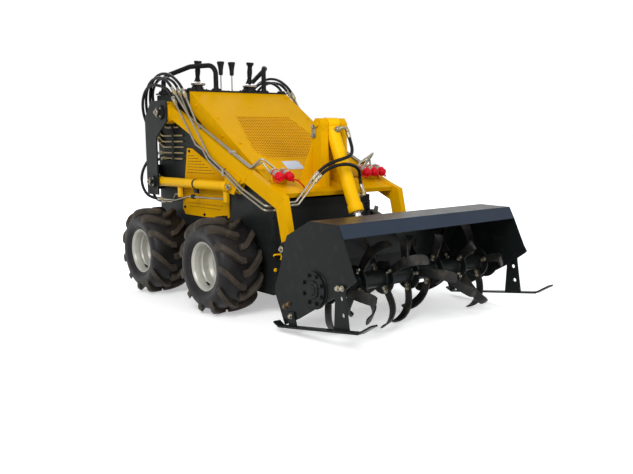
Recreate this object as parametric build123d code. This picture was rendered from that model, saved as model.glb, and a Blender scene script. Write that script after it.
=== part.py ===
"""Compact stand-on skid steer loader carrying a rotary tiller, as separate named pieces.

Everything is drawn in machine coordinates, in millimetres: X forward from the front axle, Y to the
machine's left from its centre plane, Z up from the ground. The last lines move it all so that the
origin is the middle of the footprint, on the ground.
"""
from build123d import *
import math
import os

# ---------------------------------------------------------------- driving dimensions
CLEAR = 0.3                 # running clearance on a radius, and the seat gap of rubber on metal

# wheels
WHEELBASE = 808
TYRE_GAP = 33               # chassis side to the tyre's inner sidewall
TYRE_R = 280                # over the lugs
CARCASS_R = 256             # between the lugs
TYRE_HALF_WIDTH = 135
TREAD_HALF_WIDTH = 118
RIM_SEAT_R = 128
RIM_FLANGE_R = 143
RIM_HALF_WIDTH = 113
RIM_WALL = 5
DISC_INSET = 125            # wheel disc behind the rim's outer edge
DISC_T = 12
HUB_R = 62
SPINDLE_R = 25
SPINDLE_END_GAP = 12        # spindle end to the hub's outer face

# chassis and upper body
BODY_HALF = 372             # outer faces of the chassis sides
WHEEL_Y = BODY_HALF + TYRE_GAP + TYRE_HALF_WIDTH    # wheel centre plane
PLATE = 8
FLOOR_Z = 119
FRONT_X = 283
REAR_X = -1055
SKIN = 5                    # yellow sheet metal
HOOD_OVER = 8               # hood's skirts outside the chassis sides
HOOD_HALF = BODY_HALF + HOOD_OVER
HOOD_TOP_X = -583
HOOD_TOP_Z = 1304
HOOD_LOW_X = 262
HOOD_LOW_Z = 767
HOOD_LIP_Z = 690
HOOD_FLANGE = 120
FRONT_PLATE_TOP = 652

# arms between the hood and the towers
ARM_GAP = 25                # hood to arm
ARM_T = 38
TOWER_GAP = 17              # arm to the outer tower plate
ARM_IN = HOOD_HALF + ARM_GAP
ARM_OUT = ARM_IN + ARM_T
ARM_MID = ARM_IN + ARM_T / 2

# towers
TOWER_FACE = ARM_OUT + TOWER_GAP
TOWER_PLATE = 10
TOWER_LOW_Z = 632
TOWER_TOP_Z = 1255
WEB_TOP_Z = 830             # the towers' rear webs stop here, and the hoses leave above them

# boom
PIVOT_X = -816
PIVOT_Z = 1177
PIVOT_PIN_R = 25
ARM_BOSS_R = 72
LUG_T = 8
LUG_R = 38
FOOT_X = 520
FOOT_Z = 420
FOOT_PIN_R = 19
FOOT_R = 45

# lift cylinders
LIFT_PIN_X = -958
LIFT_PIN_Z = 720
LIFT_ROD_X = -11
LIFT_ROD_Z = 724
LIFT_PIN_R = 16
LIFT_BARREL_R = 30
LIFT_ROD_R = 16
LIFT_EYE_R = 34
LIFT_EYE_W = 30
LIFT_GLAND = 70             # barrel's open end to the rod's pin when closed

# tilt cylinder
TILT_PIN_X = 358
TILT_PIN_Z = 1078
TILT_ROD_X = 606
TILT_ROD_Z = 530
TILT_PIN_R = 16
TILT_BARREL_R = 39
TILT_ROD_R = 20
TILT_EYE_R = 36
TILT_ROD_EYE_R = 28
TILT_ROD_EYE_W = 50
TILT_GLAND = 62

# tiller
TILLER_Y = 133              # tiller's middle, towards the machine's left
TILLER_HALF = 651           # to the side plates' outer faces
SIDE_T = 8
SHEET_T = 6
ROTOR_X = 848
ROTOR_Z = 262
TINE_R = 256
ROTOR_TUBE_R = 45
FLANGE_R = 88
FLANGE_T = 12
FLANGES = 7
TINES_PER_FLANGE = 4
TINE_STAGGER = 27           # degrees from one flange's tines to the next one's
TINE_W = 46
TINE_T = 10
TINE_BEND_R = 48
TINE_FOOT = 76              # bent tip, from the shank's face
HOUSING_R = 90
SPIGOT_R = 60               # housings' spigots in the side plates
STUB_R = 20                 # stub shafts that carry the rotor tube
HOUSING_T = 14
SKID_W = 42
SKID_T = 9
SKID_HOLE_R = 11


# ---------------------------------------------------------------- helpers
def plate(outline, y_low, y_high, radius=0):
    """A plate parallel to the X-Z plane: outline of (x, z), from y_low to y_high."""
    if radius:
        edge = FilletPolyline(*outline, radius=radius, close=True)
    else:
        edge = Polyline(*outline, close=True)
    return extrude(Plane.XZ.offset(-y_high) * make_face(edge), amount=y_high - y_low)


def across(x, z, radius, y_low, y_high):
    """A round bar along Y through (x, z)."""
    return Pos(x, (y_low + y_high) / 2, z) * Rot(90, 0, 0) * Cylinder(radius, y_high - y_low)


def block(x_low, x_high, y_low, y_high, z_low, z_high):
    """A rectangular block between two corners."""
    centre = ((x_low + x_high) / 2, (y_low + y_high) / 2, (z_low + z_high) / 2)
    return Pos(*centre) * Box(x_high - x_low, y_high - y_low, z_high - z_low)


def bar(start, end, radius):
    """A round bar from start to end, both (x, y, z)."""
    line = Vector(*end) - Vector(*start)
    return extrude(Plane(origin=start, z_dir=line) * Circle(radius), amount=line.length)


def tube(points, bends, radius):
    """A bent round tube: straight runs joined by arcs of the given bend radii."""
    path = FilletPolyline(*points, radius=bends)
    return sweep(Plane(origin=path @ 0, z_dir=path % 0) * Circle(radius), path=path)


def group(parts):
    """Several solids that don't touch, as one node."""
    return Compound([solid for part in parts for solid in part.solids()])


def left_of(piece):
    """The machine's left-hand twin of a right-hand piece."""
    return mirror(piece, about=Plane.XZ)


def toward(start, end):
    """Unit vector (x, z) and distance from start to end in a side view."""
    dx, dz = end[0] - start[0], end[1] - start[1]
    reach = math.hypot(dx, dz)
    return (dx / reach, dz / reach), reach


def between(a, b, share):
    """The point (x, z) a share of the way from a to b."""
    return a[0] + (b[0] - a[0]) * share, a[1] + (b[1] - a[1]) * share


def along(start, unit, distance):
    """The point (x, z) a distance along a unit vector."""
    return start[0] + unit[0] * distance, start[1] + unit[1] * distance


# ---------------------------------------------------------------- wheels
RIM_OUT_Y = WHEEL_Y + RIM_HALF_WIDTH
RIM_IN_Y = WHEEL_Y - RIM_HALF_WIDTH
DISC_Y = RIM_OUT_Y - DISC_INSET
HUB_IN_Y = BODY_HALF + 25
AXLE_Z = TYRE_R
BEAD = 18


def ring(profile, x, side):
    """A solid of revolution about a wheel's axle; profile is (|y|, radius)."""
    face = Plane.XY * make_face(Polyline(*[(r, y) for y, r in profile], close=True))
    solid = revolve(face, axis=Axis.Y)
    solid = Pos(x, 0, AXLE_Z) * solid
    return mirror(solid, about=Plane.XZ) if side < 0 else solid


def polyhedron(faces):
    """A solid from its flat faces, each a closed ring of (x, y, z)."""
    return Solid(Shell([Face(Wire.make_polygon(corners)) for corners in faces]))


TYRE_SECTION = [            # (distance from the wheel's centre plane, radius between two facets)
    (RIM_HALF_WIDTH - RIM_WALL - CLEAR, RIM_SEAT_R + 2),
    (RIM_HALF_WIDTH - RIM_WALL - CLEAR, RIM_FLANGE_R + 5),
    (TYRE_HALF_WIDTH, 185),
    (TYRE_HALF_WIDTH, 214),
    (TREAD_HALF_WIDTH, 242),
    (0.6 * TREAD_HALF_WIDTH, CARCASS_R),
]
LUGS = 11                   # on each half of the tread
LUG_OUTLINE = [             # (from the centre plane, along the tread), blunt nose first
    (-8, -77), (22, -77), (128, 29), (128, 77), (10, -41), (-8, -41),
]


def carcass():
    """Tyre carcass about the Y axis, in as many flat sectors as there are lugs."""
    section = TYRE_SECTION + [(-y, r) for y, r in reversed(TYRE_SECTION)]
    half = math.pi / (2 * LUGS)
    faces = []
    for sector in range(2 * LUGS):
        turns = ((2 * sector - 1) * half, (2 * sector + 1) * half)
        edges = [[(r * math.cos(t), y, r * math.sin(t)) for y, r in section] for t in turns]
        for i in range(len(section)):
            j = (i + 1) % len(section)
            faces.append([edges[0][i], edges[0][j], edges[1][j], edges[1][i]])
    return polyhedron(faces)


def tread_lug(half, angle):
    """One traction lug, on the tread's half on the side of half's sign, at an angle in degrees."""
    reach = max(abs(along) for _, along in LUG_OUTLINE)
    top = math.sqrt(TYRE_R ** 2 - reach ** 2)
    foot = 205
    face = make_face(Polyline(*[(half * y, along) for y, along in LUG_OUTLINE], close=True))
    crown = Plane(origin=(foot, 0, 0), x_dir=(0, 1, 0), z_dir=(1, 0, 0))
    return Rot(0, -angle, 0) * extrude(crown * face, amount=top - foot)


def tyre(x, side):
    """Tyre with its chevron lugs, noses down on the front face."""
    body = carcass()
    pitch = 360 / LUGS
    for i in range(LUGS):
        for half, offset in ((1, 0.25), (-1, 0.75)):
            body += tread_lug(half, (i + offset) * pitch)
    return Pos(x, side * WHEEL_Y, AXLE_Z) * body


def rim(x, side):
    """Rim with its flanges, deep-set disc, and the hub that turns on the spindle."""
    wall = RIM_SEAT_R - RIM_WALL
    profile = [
        (HUB_IN_Y, SPINDLE_R + CLEAR),
        (DISC_Y + 6 - SPINDLE_END_GAP + 2, SPINDLE_R + CLEAR),
        (DISC_Y + 6 - SPINDLE_END_GAP + 2, 0),
        (DISC_Y + 6, 0),
        (DISC_Y + 6, 40),
        (DISC_Y, 44),
        (DISC_Y, 96),
        (DISC_Y + 22, wall - 8),
        (DISC_Y + 30, wall),
        (RIM_OUT_Y - 14, wall),
        (RIM_OUT_Y, RIM_FLANGE_R - RIM_WALL),
        (RIM_OUT_Y, RIM_FLANGE_R),
        (RIM_OUT_Y - RIM_WALL, RIM_FLANGE_R),
        (RIM_OUT_Y - RIM_WALL, RIM_SEAT_R),
        (RIM_IN_Y + RIM_WALL, RIM_SEAT_R),
        (RIM_IN_Y + RIM_WALL, RIM_FLANGE_R),
        (RIM_IN_Y, RIM_FLANGE_R),
        (RIM_IN_Y, wall),
        (DISC_Y, wall),
        (DISC_Y - DISC_T, wall - 12),
        (DISC_Y - DISC_T, HUB_R),
        (HUB_IN_Y, HUB_R),
    ]
    return ring(profile, x, side)


def wheel_motors():
    """Four hydraulic wheel motors inside the chassis, each with its flange and fixed spindle."""
    motors = []
    for x in (0, -WHEELBASE):
        for side in (-1, 1):
            inner = BODY_HALF - PLATE
            spindle_end = DISC_Y + 6 - SPINDLE_END_GAP
            body = across(x, AXLE_Z, 62, inner - 150, inner)
            body += across(x, AXLE_Z, SPINDLE_R, inner, spindle_end)
            body += across(x, AXLE_Z, 45, BODY_HALF, BODY_HALF + 15)
            motors.append(body if side > 0 else mirror(body, about=Plane.XZ))
    return group(motors)


# ---------------------------------------------------------------- chassis
HOOD_SLOPE = (HOOD_TOP_Z - HOOD_LOW_Z) / (HOOD_LOW_X - HOOD_TOP_X)


def hood_z(x):
    """Height of the hood's sloping face at x."""
    return HOOD_LOW_Z + (HOOD_LOW_X - x) * HOOD_SLOPE


SIDE_TOP = [                # (x, z) along the top of each chassis side, under the hood and the deck
    (REAR_X, HOOD_TOP_Z - 4),
    (HOOD_TOP_X - 4, HOOD_TOP_Z - 4),
    (HOOD_LOW_X - 8, HOOD_LOW_Z - 10),
    (HOOD_LOW_X - 8, FRONT_PLATE_TOP),
    (FRONT_X, FRONT_PLATE_TOP),
]
ENGINE_X = (-470, -60)
ENGINE_Z = (190, 640)
ENGINE_HALF = 190
RAIL_W = 60


def chassis_tub():
    """Welded tub: two sides up to the hood, floor, front and rear plates, engine rails."""
    side = [(REAR_X, FLOOR_Z), *SIDE_TOP, (FRONT_X, FLOOR_Z)]
    tub = None
    for y_low, y_high in ((-BODY_HALF, -BODY_HALF + PLATE), (BODY_HALF - PLATE, BODY_HALF)):
        wall = plate(side, y_low, y_high)
        for x in (0, -WHEELBASE):
            wall -= across(x, AXLE_Z, SPINDLE_R + 0.5, y_low - 1, y_high + 1)
        tub = wall if tub is None else tub + wall
    inner = BODY_HALF - PLATE
    tub += block(REAR_X, FRONT_X, -inner, inner, FLOOR_Z, FLOOR_Z + PLATE)
    tub += block(FRONT_X - PLATE, FRONT_X, -inner, inner, FLOOR_Z + PLATE, FRONT_PLATE_TOP)
    tub += block(REAR_X, REAR_X + PLATE, -inner, inner, FLOOR_Z + PLATE, HOOD_TOP_Z - 4)
    for side_y in (-1, 1):
        y = side_y * (ENGINE_HALF - RAIL_W)
        tub += block(ENGINE_X[0] - 40, ENGINE_X[1] + 40, y - RAIL_W / 2, y + RAIL_W / 2,
                     FLOOR_Z + PLATE, ENGINE_Z[0])
    hinge_x = REAR_X - STEP_OFFSET
    for y in (-STEP_EAR_Y, STEP_EAR_Y):
        ear = block(hinge_x, REAR_X, y - 6, y + 6, STEP_Z - 14, STEP_Z + 14)
        tub += ear + across(hinge_x, STEP_Z, 14, y - 6, y + 6)
    tub += across(hinge_x, STEP_Z, STEP_PIN_R, -STEP_EAR_Y, STEP_EAR_Y)
    return tub


# folding step at the rear
STEP_Z = 205
STEP_OFFSET = 22            # hinge axis behind the rear plate
STEP_EAR_Y = 215
STEP_PIN_R = 9
STEP_HALF = 260
STEP_T = 24
STEP_LENGTH = 390


def rear_step():
    """Folding platform for the operator, stowed upright behind the rear plate."""
    hinge_x = REAR_X - STEP_OFFSET
    back = hinge_x - 18
    step = block(back - STEP_T, back, -STEP_HALF, STEP_HALF, STEP_Z - 4, STEP_Z - 4 + STEP_LENGTH)
    for y in (-STEP_EAR_Y + 26, STEP_EAR_Y - 26):
        lug = block(back - 1, hinge_x, y - 12, y + 12, STEP_Z - 4, STEP_Z + 12)
        lug += across(hinge_x, STEP_Z, 16, y - 12, y + 12)
        step += lug
    return step - across(hinge_x, STEP_Z, STEP_PIN_R + CLEAR, -STEP_HALF, STEP_HALF)


TOWER_OUTLINE = [           # (x, z) of each outer tower plate: a column with a flag round the pivot
    (REAR_X, TOWER_LOW_Z),
    (REAR_X, TOWER_TOP_Z - 110),
    (REAR_X + 95, TOWER_TOP_Z),
    (PIVOT_X + 72, TOWER_TOP_Z),
    (PIVOT_X + 72, PIVOT_Z - 60),
    (LIFT_PIN_X + 60, PIVOT_Z - 160),
    (LIFT_PIN_X + 60, TOWER_LOW_Z),
]


def tower_right():
    """Channel-shaped tower: outer plate, rear web, and the pins of the boom and lift cylinder."""
    out, face = -TOWER_FACE - TOWER_PLATE, -TOWER_FACE
    tower = plate(TOWER_OUTLINE, out, face)
    tower += block(REAR_X, REAR_X + PLATE, face, -BODY_HALF, TOWER_LOW_Z + 28, WEB_TOP_Z)
    for x, z, pin, boss in (
        (PIVOT_X, PIVOT_Z, PIVOT_PIN_R, 48),
        (LIFT_PIN_X, LIFT_PIN_Z, LIFT_PIN_R, 40),
    ):
        tower += across(x, z, pin, face, -BODY_HALF)
        tower += across(x, z, boss, out - 14, out)
        tower += across(x, z, pin * 0.7, out - 30, out - 14)
    return tower


PANEL_OUTLINE = [           # (x, z) of the louvred side panel
    (-688, 511),
    (-726, 549),
    (-643, 945),
    (-581, 942),
    (-140, 756),
    (-152, 526),
    (-190, 511),
]


def side_panel_right():
    """Louvred engine side panel, bolted to the chassis side."""
    return plate(PANEL_OUTLINE, -BODY_HALF - PLATE, -BODY_HALF)


GRILLE = [                  # (distance down the hood's slope from its top edge, half width)
    (300, 205),
    (300, -205),
    (700, -300),
    (790, -250),
    (790, 250),
    (700, 300),
]
SLOPE_RUN = math.hypot(HOOD_LOW_X - HOOD_TOP_X, HOOD_TOP_Z - HOOD_LOW_Z)


def slope_plane():
    """Plane of the hood's outer face: x down the slope, y to the machine's left, z outwards."""
    down = Vector(HOOD_LOW_X - HOOD_TOP_X, 0, HOOD_LOW_Z - HOOD_TOP_Z)
    return Plane(origin=(HOOD_TOP_X, 0, HOOD_TOP_Z), x_dir=down,
                 z_dir=Vector(HOOD_TOP_Z - HOOD_LOW_Z, 0, HOOD_LOW_X - HOOD_TOP_X))


def grille_face(inset):
    """Face of the grille's opening, drawn in by inset."""
    face = slope_plane() * make_face(Polyline(*GRILLE, close=True))
    return offset(face, amount=-inset) if inset else face


def hood():
    """One-piece yellow hood: sloping front with the grille's opening, side flanges, front lip."""
    outer = [
        (HOOD_TOP_X, HOOD_TOP_Z),
        (HOOD_LOW_X, HOOD_LOW_Z),
        (HOOD_LOW_X, HOOD_LIP_Z),
        (HOOD_LOW_X - 60, HOOD_LIP_Z),
        (HOOD_LOW_X - 60, hood_z(HOOD_LOW_X - 60) - HOOD_FLANGE),
        (HOOD_TOP_X, HOOD_TOP_Z - HOOD_FLANGE),
    ]
    shell = plate(outer, -HOOD_HALF, HOOD_HALF)
    room = [
        (HOOD_TOP_X - 10, HOOD_TOP_Z + 4),
        (HOOD_TOP_X, HOOD_TOP_Z - SKIN * 1.2),
        (HOOD_LOW_X - SKIN, HOOD_LOW_Z - SKIN * 0.6),
        (HOOD_LOW_X - SKIN, HOOD_LIP_Z - 10),
        (HOOD_LOW_X - 600, HOOD_LIP_Z - 500),
        (HOOD_TOP_X - 10, HOOD_TOP_Z - 600),
    ]
    shell -= plate(room, -BODY_HALF - CLEAR, BODY_HALF + CLEAR)
    return shell - extrude(grille_face(0), amount=-40) - extrude(grille_face(0), amount=10)


def front_grille():
    """Mesh panel that fills the hood's opening."""
    return extrude(grille_face(CLEAR), amount=-SKIN + 1)


def top_deck():
    """Black deck on top of the body, with the trim strip along the hood's upper edge."""
    deck = block(REAR_X, HOOD_TOP_X + 6, -HOOD_HALF, HOOD_HALF, HOOD_TOP_Z, HOOD_TOP_Z + DECK_T)
    for side in (-1, 1):
        deck += Pos(HOOD_TOP_X - 22, side * (HOOD_HALF - 26), HOOD_TOP_Z + DECK_T) * Cylinder(
            24, 10, align=(Align.CENTER, Align.CENTER, Align.MIN))
    return deck


DECK_T = 9
DECK_Z = HOOD_TOP_Z + DECK_T


def rear_console():
    """Instrument box on the back of the deck, in front of the operator."""
    outline = [
        (REAR_X + 20, DECK_Z),
        (REAR_X + 60, DECK_Z + 70),
        (REAR_X + 150, DECK_Z + 70),
        (REAR_X + 200, DECK_Z),
    ]
    return plate(outline, -250, 250)


def engine():
    """Engine and pump as one plain block on its rails."""
    return block(ENGINE_X[0], ENGINE_X[1], -ENGINE_HALF, ENGINE_HALF, ENGINE_Z[0], ENGINE_Z[1])


# ---------------------------------------------------------------- controls on the deck
FILLER_Y = (-HOOD_HALF + 81, 96)


def filler_caps():
    """Two chrome filler caps on their necks."""
    caps = []
    for y in FILLER_Y:
        neck = Pos(HOOD_TOP_X - 30, y, DECK_Z) * Cylinder(
            24, 30, align=(Align.CENTER, Align.CENTER, Align.MIN))
        cap = Pos(HOOD_TOP_X - 30, y, DECK_Z + 30) * Cylinder(
            45, 22, align=(Align.CENTER, Align.CENTER, Align.MIN))
        caps.append(neck + cap)
    return group(caps)


JOYSTICKS = [               # (x, y, lean of the top along x)
    (-790, -205, 12),
    (-700, 150, 12),
]


def joysticks():
    """Two drive joysticks: base, rubber bellows, and handle."""
    sticks = []
    for x, y, lean in JOYSTICKS:
        base = block(x - 55, x + 55, y - 55, y + 55, DECK_Z, DECK_Z + 22)
        boot = Pos(x, y, DECK_Z + 22) * Cone(
            44, 18, 60, align=(Align.CENTER, Align.CENTER, Align.MIN))
        grip = bar((x, y, DECK_Z + 80), (x + lean, y, DECK_Z + 190), 16)
        knob = bar((x + lean, y, DECK_Z + 188), (x + lean + 2, y, DECK_Z + 206), 22)
        sticks.append(base + boot + grip + knob)
    return group(sticks)


LEVERS_Y = (-111, -26)
LEVER_X = -640


def control_levers():
    """Two slim chrome levers with flared black knobs."""
    levers = []
    for y in LEVERS_Y:
        stem = bar((LEVER_X, y, DECK_Z), (LEVER_X, y, DECK_Z + 120), 6)
        knob = Pos(LEVER_X, y, DECK_Z + 110) * Cone(
            12, 22, 78, align=(Align.CENTER, Align.CENTER, Align.MIN))
        levers.append(stem + knob)
    return group(levers)


HANDLE_R = 16
HANDLE_FOOT_Y = HOOD_HALF - 25      # rear feet, near the deck's edges


def grab_handles():
    """Two padded tube handles, arched over the deck on either side."""
    right = tube([(-985, -HANDLE_FOOT_Y, DECK_Z), (-985, -HANDLE_FOOT_Y, 1420), (-800, -250, 1480), (-615, -165, 1480),
                  (-615, -165, DECK_Z)], (60, 80, 60), HANDLE_R)
    left = tube([(-985, HANDLE_FOOT_Y, DECK_Z), (-985, HANDLE_FOOT_Y, 1400), (-760, 330, 1490), (-630, 225, 1480),
                 (-630, 225, DECK_Z)], (60, 70, 50), HANDLE_R)
    return group([right, left])


# ---------------------------------------------------------------- boom
LEG_LEAN = math.radians(16.7)
LEG_HALF = 38
LEG_DOWN = (math.sin(LEG_LEAN), -math.cos(LEG_LEAN))
LEG_SIDE = (math.cos(LEG_LEAN), math.sin(LEG_LEAN))
ARM_OUTLINE = [             # (x, z) round one arm, from the rear top clockwise to the rear bottom
    (PIVOT_X + 20, PIVOT_Z + 68),
    (PIVOT_X + 75, PIVOT_Z + 45),
    (216, 805),
    (400, 728),
    (496, 694),
    (FOOT_X + LEG_SIDE[0] * LEG_HALF, FOOT_Z + LEG_SIDE[1] * LEG_HALF),
    (FOOT_X - LEG_SIDE[0] * LEG_HALF, FOOT_Z - LEG_SIDE[1] * LEG_HALF),
    (428, 625),
    (391, 641),
    (122, 753),
    (60, 735),
    (-31, 764),
    (-296, 923),
    (-478, 1028),
    (PIVOT_X + 102, PIVOT_Z - 51),
    (PIVOT_X + 20, PIVOT_Z - 68),
]


def arm_right():
    """One boom arm: box-section beam with pivot boss, foot, and the ears for the lift rod."""
    beam = plate(ARM_OUTLINE, -ARM_OUT, -ARM_IN)
    beam += across(PIVOT_X, PIVOT_Z, ARM_BOSS_R, -ARM_OUT - 10, -ARM_IN + 20)
    beam += across(FOOT_X, FOOT_Z, FOOT_R, -ARM_OUT, -ARM_IN)
    ear = [
        (-150, 870),
        (-31 - 22, 764 - 30),
        (LIFT_ROD_X - LUG_R, LIFT_ROD_Z - 8),
        (LIFT_ROD_X - 10, LIFT_ROD_Z - LUG_R),
        (LIFT_ROD_X + 30, LIFT_ROD_Z - 44),
        (95, 770),
    ]
    for y_low, y_high in ((-ARM_OUT - LUG_T, -ARM_OUT), (-ARM_IN, -ARM_IN + LUG_T)):
        beam += plate(ear, y_low, y_high)
    beam += across(LIFT_ROD_X, LIFT_ROD_Z, 20, -ARM_OUT - LUG_T - 12, -ARM_OUT - LUG_T)
    beam -= across(PIVOT_X, PIVOT_Z, PIVOT_PIN_R + CLEAR, -ARM_OUT - 20, -ARM_IN + 30)
    return beam - across(FOOT_X, FOOT_Z, FOOT_PIN_R + CLEAR, -ARM_OUT - 1, -ARM_IN + 1)


EAR_IN = TILT_BARREL_R + 5
TILT_EYE_W = 2 * EAR_IN - 6
EAR_OUT = 96
GUSSET_X = 315
GUSSET_T = 14
XM_OUTLINE = [              # (x, z) of the cross-member's section
    (GUSSET_X, 684),
    (GUSSET_X, 760),
    (400, 724),
    (452, 704),
    (440, 680),
]


def cross_member():
    """Beam between the arms, with the ears and gusset that carry the tilt cylinder."""
    beam = plate(XM_OUTLINE, -ARM_IN, ARM_IN)
    gusset = [                              # (y, z)
        (-190, 700), (-190, 750), (-EAR_OUT, 960), (-EAR_OUT, 1085),
        (EAR_OUT, 1085), (EAR_OUT, 960), (190, 750), (190, 700),
    ]
    face = Plane.YZ.offset(GUSSET_X) * make_face(Polyline(*gusset, close=True))
    beam += extrude(face, amount=-GUSSET_T)
    ear = [
        (GUSSET_X, 700), (GUSSET_X, 1085), (TILT_PIN_X - 20, TILT_PIN_Z + 32),
        (TILT_PIN_X + 12, TILT_PIN_Z + 32), (TILT_PIN_X + 36, TILT_PIN_Z),
        (TILT_PIN_X + 30, TILT_PIN_Z - 40), (400, 724),
    ]
    for y_low, y_high in ((-EAR_OUT, -EAR_IN), (EAR_IN, EAR_OUT)):
        beam += plate(ear, y_low, y_high)
    return beam + across(TILT_PIN_X, TILT_PIN_Z, TILT_PIN_R, -EAR_OUT - 12, EAR_OUT + 12)


COUPLER_R = 19
CAP_R = 25
CAP_L = 42
COUPLER_EDGE = ARM_IN - CAP_R       # outermost couplers, their caps beside the arms
COUPLERS_Y = (-COUPLER_EDGE, -COUPLER_EDGE + 65,
              COUPLER_EDGE - 118, COUPLER_EDGE - 59, COUPLER_EDGE)
COUPLER_X = (315, 372)
COUPLER_Z = 812


def couplers():
    """Quick couplers of the tool circuit, on a low bracket over the cross-member."""
    bodies = []
    for cluster in (COUPLERS_Y[:2], COUPLERS_Y[2:]):
        low, high = cluster[0] - COUPLER_R, cluster[-1] + COUPLER_R
        top = [between(XM_OUTLINE[1], XM_OUTLINE[2], share) for share in (0.1, 0.3)]
        stand = plate([top[0], (top[0][0], COUPLER_Z), (top[1][0], COUPLER_Z), top[1]], low, high)
        for y in cluster:
            stand += bar((COUPLER_X[0], y, COUPLER_Z), (COUPLER_X[1], y, COUPLER_Z), COUPLER_R)
        bodies.append(stand)
    return group(bodies)


def coupler_caps():
    """Red dust caps pushed over the couplers."""
    caps = []
    for y in COUPLERS_Y:
        start = COUPLER_X[1] + CLEAR
        caps.append(bar((start, y, COUPLER_Z), (start + CAP_L, y, COUPLER_Z), CAP_R))
    return group(caps)


# ---------------------------------------------------------------- cylinders
def barrel(start, end, y, radius, eye_r, eye_w, pin_r, rod_r, closed_gap):
    """Cylinder barrel from its pin at start, open towards end; closed_gap is left for the rod."""
    unit, reach = toward(start, end)
    mouth = along(start, unit, reach - closed_gap)
    root = along(start, unit, eye_r * 0.8)
    body = bar((root[0], y, root[1]), (mouth[0], y, mouth[1]), radius)
    body += across(*start, eye_r, y - eye_w / 2, y + eye_w / 2)
    body -= across(*start, pin_r + CLEAR, y - eye_w, y + eye_w)
    floor = along(start, unit, eye_r + 30)
    return body - bar((floor[0], y, floor[1]), (mouth[0] + unit[0], y, mouth[1] + unit[1]),
                      rod_r + CLEAR)


LIFT_PORTS_X = (-671, -105)
PORT_BOTTOM_Z = 628
PORT_HALF = 18


def rod(start, end, y, radius, eye_r, eye_w, barrel_eye_r):
    """Cylinder rod, from inside its barrel to the eye at end."""
    unit, reach = toward(start, end)
    foot = along(start, unit, barrel_eye_r + 65)
    body = bar((foot[0], y, foot[1]), (end[0], y, end[1]), radius)
    return body + across(*end, eye_r, y - eye_w / 2, y + eye_w / 2)


LIFT_PIN = (LIFT_PIN_X, LIFT_PIN_Z)
LIFT_ROD = (LIFT_ROD_X, LIFT_ROD_Z)
TILT_PIN = (TILT_PIN_X, TILT_PIN_Z)
TILT_ROD = (TILT_ROD_X, TILT_ROD_Z)


def lift_barrel_right():
    """Lift cylinder's barrel with the two port blocks on its underside."""
    body = barrel(LIFT_PIN, LIFT_ROD, -ARM_MID, LIFT_BARREL_R, LIFT_EYE_R, LIFT_EYE_W,
                  LIFT_PIN_R, LIFT_ROD_R, LIFT_GLAND)
    for x in LIFT_PORTS_X:
        body += block(x - PORT_HALF, x + PORT_HALF, -ARM_MID - PORT_HALF / 2, -ARM_MID + PORT_HALF / 2,
                      PORT_BOTTOM_Z, LIFT_PIN_Z - LIFT_ROD_R - 6)
    return body


def lift_rod_right():
    """Lift cylinder's rod."""
    return rod(LIFT_PIN, LIFT_ROD, -ARM_MID, LIFT_ROD_R, LIFT_EYE_R - 6, LIFT_EYE_W, LIFT_EYE_R)


def tilt_barrel():
    """Tilt cylinder's barrel."""
    return barrel(TILT_PIN, TILT_ROD, 0, TILT_BARREL_R, TILT_EYE_R, TILT_EYE_W,
                  TILT_PIN_R, TILT_ROD_R, TILT_GLAND)


def tilt_rod():
    """Tilt cylinder's rod."""
    return rod(TILT_PIN, TILT_ROD, 0, TILT_ROD_R, TILT_ROD_EYE_R, TILT_ROD_EYE_W, TILT_EYE_R)


# ---------------------------------------------------------------- hydraulic pipes and hoses
PIPE_R = 6
HOSE_R = 9.5
JOINT_GAP = 0.7             # pipe end to hose end
WALL_PIPE_Y = -BODY_HALF - 11
TOP_PIPES_Y = (-ARM_IN - 8, -ARM_IN - 24)
OUTER_PIPE_Y = -ARM_OUT - LUG_T - 7
PIPE_BEND = 22


def piped(points):
    """A steel pipe through the points, with small bends."""
    return tube(points, (PIPE_BEND,) * (len(points) - 2), PIPE_R)


def hose(points):
    """A hose through the points; each bend is as large as its two runs allow."""
    radii = []
    for a, b, c in zip(points, points[1:], points[2:]):
        before, after = Vector(*b) - Vector(*a), Vector(*c) - Vector(*b)
        half_turn = math.radians(before.get_angle(after)) / 2
        radii.append(0.45 * min(before.length, after.length) / math.tan(half_turn))
    print("hose bends", [round(r) for r in radii])
    return tube(points, radii, HOSE_R)


WALL_PIPES = [              # (x of the front end, x of the elbow, z, x and z of the hose end)
    (-740, -925, 1080, -981, 1122),
    (-690, -985, 1026, -1033, 1062),
    (-690, -975, 987, -1023, 1023),
    (-680, -965, 950, -1013, 986),
    (-690, None, 912, -985, 912),
    (-700, None, 874, -950, 874),
]
BLIND_WALL_PIPE = 3         # this one has no twin on the machine's left


def wall_pipes(skip=()):
    """Pipes along one chassis side, held by an upright clamp strip, out to the hoses."""
    strip = block(-832, -808, WALL_PIPE_Y - PIPE_R - 3, -BODY_HALF - CLEAR, 860, 1094)
    for i, (front, elbow, z, end_x, end_z) in enumerate(WALL_PIPES):
        if i in skip:
            continue
        start, end = (front, WALL_PIPE_Y, z), (end_x, WALL_PIPE_Y, end_z)
        strip += piped([start, (elbow, WALL_PIPE_Y, z), end]) if elbow else bar(start, end, PIPE_R)
    return strip


def tower_pipes():
    """The fixed pipes on both chassis sides."""
    return group([wall_pipes(), left_of(wall_pipes(skip=(BLIND_WALL_PIPE,)))])


def top_z(x):
    """Height of the arm's top edge at x."""
    (x0, z0), (x1, z1) = ARM_OUTLINE[1:3]
    return z0 + (z1 - z0) * (x - x0) / (x1 - x0)


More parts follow.
